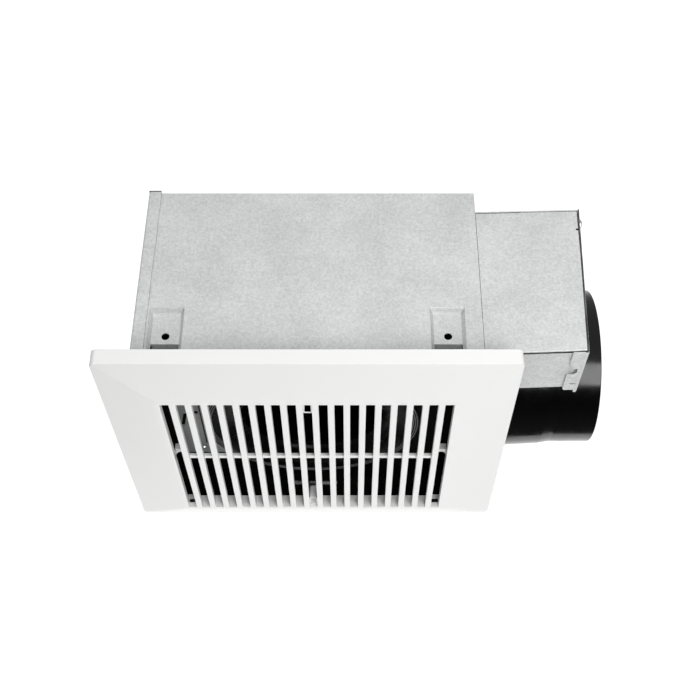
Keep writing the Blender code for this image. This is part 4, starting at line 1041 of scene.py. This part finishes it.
def border_sections():
    """(height, width, depth, corner radius) down the outside of the rim and the sloping border."""
    corner = RIM_CORNER
    found = [
        (0.0, GRILLE_WIDTH - 0.8, GRILLE_DEPTH - 0.8, corner),
        (-0.4, GRILLE_WIDTH, GRILLE_DEPTH, corner),
    ]
    slope_start = math.atan2(BORDER_FALL * BULGE, (GRILLE_WIDTH - FACE_WIDTH) / 2)
    for turn in spread(0, math.pi / 2 - slope_start, 6):
        inset = RIM_FILLET * (1 - math.cos(turn))
        height = RIM_Z - RIM_FILLET * math.sin(turn)
        found.append((height, GRILLE_WIDTH - 2 * inset, GRILLE_DEPTH - 2 * inset, corner))
    height, width, depth, corner = found[-1]
    for share in spread(0, 1, 15)[1:-1]:
        fall = BULGE * share - (BULGE - 1) * share * share
        found.append(
            (
                height + (FACE_Z - height) * fall,
                width + (FACE_WIDTH - width) * share,
                depth + (FACE_DEPTH - depth) * share,
                corner + (FACE_CORNER - corner) * share,
            )
        )
    found.append((FACE_Z, FACE_WIDTH, FACE_DEPTH, FACE_CORNER))
    return found


def ring_of(bm, height, width, depth, corner):
    return [bm.verts.new((x, y, height)) for x, y in rounded_rectangle(width, depth, corner)]


def grid_lines():
    """Places along X and Y where the slots' edges and the slat field's edges are."""
    xs = [FIELD_MIDDLE - FIELD_HALF - 1.0]
    for centre in slot_centres():
        xs += [centre - SLOT_WIDTH / 2, centre + SLOT_WIDTH / 2]
    xs.append(FIELD_MIDDLE + FIELD_HALF + 1.0)
    return xs, [-FIELD_Y - 2.0, -FIELD_Y, FIELD_Y, FIELD_Y + 2.0]


def slat_layer(bm, height):
    """The level face of the slat field at a height, open at the slots. Returns its grid of points."""
    xs, ys = grid_lines()
    rows = [[(x, y, height) for x in xs] for y in ys]
    return surface(bm, rows, lambda row, column: row == 1 and column % 2 == 1)


def outer_loop(grid):
    """The points round a grid's edge, in order."""
    bottom = grid[0]
    right = [row[-1] for row in grid[1:]]
    top = list(reversed(grid[-1][:-1]))
    left = [row[0] for row in reversed(grid[1:-1])]
    return bottom + right + top + left


def fill_between(bm, outer, inner):
    """Flat faces between two loops at one height."""
    edges = []
    for loop in (outer, inner):
        for index in range(len(loop)):
            pair = (loop[index], loop[(index + 1) % len(loop)])
            edges.append(bm.edges.get(pair) or bm.edges.new(pair))
    bmesh.ops.triangle_fill(bm, use_beauty=True, edges=edges)


def make_grille():
    """The moulding with its rim, sloping border and slats, and what stands behind the slats."""
    bm = bmesh.new()
    outer = [ring_of(bm, *section) for section in border_sections()]
    for upper, lower in zip(outer, outer[1:]):
        bridge(bm, upper, lower)
    face = slat_layer(bm, FACE_Z)
    fill_between(bm, outer[-1], outer_loop(face))
    inner_width, inner_depth = GRILLE_WIDTH - 2 * RIM_WALL, GRILLE_DEPTH - 2 * RIM_WALL
    inner_sections = [
        (0.0, inner_width, inner_depth, 3.0),
        (RIM_Z + 1.6, inner_width, inner_depth, 3.0),
        (SLAT_TOP_Z, FACE_WIDTH + 22, FACE_DEPTH + 20, 5.0),
    ]
    inner = [ring_of(bm, *section) for section in inner_sections]
    bridge(bm, inner[0], outer[0])
    for upper, lower in zip(inner, inner[1:]):
        bridge(bm, lower, upper)
    back = slat_layer(bm, SLAT_TOP_Z)
    fill_between(bm, inner[-1], outer_loop(back))
    edges = []
    for column in range(1, len(face[0]) - 1, 2):
        corners = ((1, column), (1, column + 1), (2, column + 1), (2, column))
        lower = [face[row][place] for row, place in corners]
        upper = [back[row][place] for row, place in corners]
        bridge(bm, upper, lower)
        edges += [bm.edges.get((lower[index], lower[(index + 1) % 4])) for index in range(4)]
    bmesh.ops.recalc_face_normals(bm, faces=bm.faces)
    bmesh.ops.bevel(bm, geom=edges, offset=0.55, segments=3, profile=0.5, affect="EDGES")
    grille = add_bm("grille_moulding", bm, [WHITE])
    finish_piece(grille, "grille_panel", "grille")
    make_grille_ribs()


def mirrored(side, near, far):
    """Two distances from the middle as places on one side, the lower place first."""
    return sorted((side * near, side * far))


def add_bridge(bm, middle):
    """The raised bridge in an outer slot, arched at the back, on two legs."""
    arch = [
        (middle + ARCH_RADIUS * math.cos(turn), BRIDGE_BACK - ARCH_RADIUS * math.sin(turn))
        for turn in spread(0, math.pi, 12)
    ]
    outline = [
        (middle - OUTER_HALF, RIB_FRONT),
        (middle + OUTER_HALF, RIB_FRONT),
        (middle + OUTER_HALF, BRIDGE_BACK),
        *arch,
        (middle - OUTER_HALF, BRIDGE_BACK),
    ]
    prism(bm, outline, BRIDGE_LOW, BRIDGE_TOP)
    for side in (-1, 1):
        near, far = mirrored(side, SLOT_WIDTH / 2, SLOT_WIDTH / 2 + 1)
        block(bm, (middle + near, RIB_FRONT, -27), (middle + far, RIB_BACK, BRIDGE_TOP))


def add_slot_walls(bm, side):
    """The wall at the slots' ends with its two windows, and the low wall beside an outer slot."""
    centres = slot_centres()
    near, far = mirrored(side, FIELD_Y, FIELD_Y + END_WALL_THICK)
    left, right = centres[0] + OUTER_HALF, centres[-1] - OUTER_HALF
    block(bm, (left, near, SLAT_TOP_Z), (right, far, END_WALL_TOP))
    for middle in (centres[0], centres[-1]):
        block(bm, (middle - OUTER_HALF, near, SLAT_TOP_Z), (middle + OUTER_HALF, far, WINDOW_LOW))
        block(bm, (middle - OUTER_HALF, near, WINDOW_HIGH), (middle + OUTER_HALF, far, BAR_TOP))
    edge = FIELD_MIDDLE + side * FIELD_HALF
    left, right = sorted((edge, edge + side * END_WALL_THICK))
    block(bm, (left, -FIELD_Y - 1, SLAT_TOP_Z), (right, FIELD_Y + 1, SIDE_WALL_TOP))
    for end in (-1, 1):
        near, far = mirrored(end, FIELD_Y, FIELD_Y + END_WALL_THICK)
        block(bm, (left, near, SLAT_TOP_Z), (right, far, BAR_TOP))


def add_peg(bm, side):
    """The peg that holds a spring's coil, on its upright."""
    near, far = mirrored(side, *UPRIGHT_ENDS)
    block(bm, (-UPRIGHT_HALF, near, BOSS_LOW), (UPRIGHT_HALF, far, UPRIGHT_TOP))
    turns = spread(0, 2 * math.pi, 32)[:-1]
    outline = [(PEG_RADIUS * math.cos(turn), PEG_Z + PEG_RADIUS * math.sin(turn)) for turn in turns]
    near, far = mirrored(side, *PEG_ENDS)
    prism_along_y(bm, outline, near, far)


def add_boss(bm, side):
    """A spring's boss in the middle slot: a frame, and in front two low bars across it."""
    left, right = FIELD_MIDDLE - OUTER_HALF, FIELD_MIDDLE + OUTER_HALF
    near, far = mirrored(side, BOSS_ENDS[side], FIELD_Y)
    block(bm, (left, near, BOSS_LOW), (left + BOSS_WALL + 0.5, far, BOSS_TOP))
    block(bm, (right - BOSS_WALL - 0.5, near, BOSS_LOW), (right, far, BOSS_TOP))
    block(bm, (left, near, BOSS_LOW), (right, near + BOSS_WALL, BOSS_TOP))
    bar_top = BOSS_TOP if side > 0 else BOSS_LOW + 1.0
    block(bm, (left, far - BOSS_WALL, BOSS_LOW), (right, far, bar_top))
    if side < 0:
        block(bm, (left, near + BOSS_WALL, BOSS_LOW), (right, near + 3 * BOSS_WALL, bar_top))


def make_grille_ribs():
    """What stands behind the slats: rib, bridges, walls, and the springs' pegs and bosses."""
    bm = bmesh.new()
    centres = slot_centres()
    block(bm, (centres[1] - 5, RIB_FRONT, -24), (centres[-2] + 5, RIB_BACK, -21))
    for middle in (centres[0], centres[-1]):
        add_bridge(bm, middle)
    for side in (-1, 1):
        add_slot_walls(bm, side)
        add_peg(bm, side)
        add_boss(bm, side)
    bmesh.ops.recalc_face_normals(bm, faces=bm.faces)
    ribs = add_bm("grille_ribs", bm, [WHITE])
    soften(ribs, 0.4)
    settle(ribs)
    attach(ribs, "grille_panel")


# ---------------------------------------------------------------- blower


RING_LOW = 9.0
RING_TOP = 10.7
RING_RADIUS = 100.0
RING_GROOVES = (98.4, 96.4, 94.4)
RING_GROOVE_RISE = 0.5
CURVE_RADIUS = 92.0
CURVE_REACH = 28.0
CURVE_TOP = 22.5
MOUTH_WALL = 1.6
BLADE_COUNT = 44


def make_inlet_ring():
    """The bell mouth, with fine grooves round its flat rim whose ridges are coloured light grey as a
    painted highlight.
    """
    low, roof = RING_LOW, RING_LOW + RING_GROOVE_RISE
    lower = [(RING_RADIUS, low)]
    for radius in RING_GROOVES:
        lower += [(radius + 0.5, low), (radius + 0.2, roof), (radius - 0.2, roof), (radius - 0.5, low)]
    curve = []
    upper = []
    for turn in spread(0, math.pi / 2, 16):
        across, up = math.sin(turn), math.cos(turn)
        curve.append((CURVE_RADIUS - CURVE_REACH * across, CURVE_TOP - (CURVE_TOP - RING_LOW) * up))
        inner_radius = CURVE_RADIUS - (CURVE_REACH - MOUTH_WALL) * across
        upper.append((inner_radius, CURVE_TOP - (CURVE_TOP - RING_TOP) * up))
    profile = [(RING_RADIUS, RING_TOP), *lower, *curve, *reversed(upper)]
    looks = [SATIN_BLACK, RIDGE_HIGHLIGHT]
    ring = turned("inlet_ring_moulding", profile, looks, 160)
    for face in ring.data.polygons:
        centre = face.center / MM
        # the ridges take the light grey look: painted highlight
        if low + 0.1 < centre.z < roof + 0.1 and centre.xy.length > RING_GROOVES[-1] - 0.9:
            face.material_index = looks.index(RIDGE_HIGHLIGHT)
    finish_piece(ring, "root", "inlet_ring")


def blade_outline(start):
    """A curved blade, seen along the wheel's axis, from a turn round it."""
    front_side, back_side = [], []
    for share in spread(0, 1, 5):
        radius = 68.3 + 13.4 * share
        angle = start + math.radians(9.5) * share * share - math.radians(3) * share
        half = 0.45 * (1.3 - 0.9 * abs(share - 0.4)) / radius
        front_side.append((radius * math.cos(angle + half), radius * math.sin(angle + half)))
        back_side.append((radius * math.cos(angle - half), radius * math.sin(angle - half)))
    return back_side + front_side[::-1]


def make_impeller():
    """The wheel: curved blades between two rings, and the dished back plate with its hub."""
    low, high = box_mm("impeller")
    dish = [
        (82.0, high.z),
        (82.0, high.z - 4.8),
        (68.0, high.z - 4.8),
        (64.5, high.z - 4.0),
        (47.0, 107.5),
        (9.0, 107.5),
        (9.0, 100.0),
        (4.1, 100.0),
        (4.1, 114.0),
        (9.0, 114.0),
        (9.0, 110.0),
        (45.5, 110.0),
        (63.0, high.z - 1.0),
        (66.0, high.z),
    ]
    radii = [0.5, 0.5, 1.5, 3.0, 4.0, 1.0, 1.0, 0, 0, 0.8, 0.8, 4.0, 2.0, 1.0]
    wheel = turned("impeller_dish", filleted(dish, radii, 4, closed=True), [BLACK], 128)
    finish_piece(wheel, "impeller_wheel", "impeller")
    ring = [(82.0, low.z + 3.5), (82.0, low.z), (68.0, low.z), (68.0, low.z + 3.5)]
    lower_ring = turned("impeller_ring", filleted(ring, 0.6, 3, closed=True), [BLACK], 128)
    settle(lower_ring)
    bm = bmesh.new()
    for blade in range(BLADE_COUNT):
        outline = blade_outline(2 * math.pi * blade / BLADE_COUNT)
        prism(bm, outline, low.z + 2.5, high.z - 4.0)
    bmesh.ops.recalc_face_normals(bm, faces=bm.faces)
    blades = add_bm("impeller_blades", bm, [BLACK])
    settle(blades)
    for piece in (lower_ring, blades):
        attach(piece, "impeller_wheel")


# ---------------------------------------------------------------- CAD nodes that stay


def dress_cad_nodes():
    """Gives each CAD node that is still shown its material."""
    slots = {part["node"]: part["material_slot"] for part in frame["record"]["subparts"]}
    for name, obj in frame["nodes"].items():
        if obj.hide_render:
            continue
        obj.data.materials.clear()
        obj.data.materials.append(SPECIAL_LOOKS.get(name, LOOKS[slots[name]]))


def main():
    make_studio()
    make_wrapper()
    make_left_cap()
    make_wiring_box()
    make_cover()
    make_collar()
    make_grille()
    make_inlet_ring()
    make_impeller()
    dress_cad_nodes()


main()
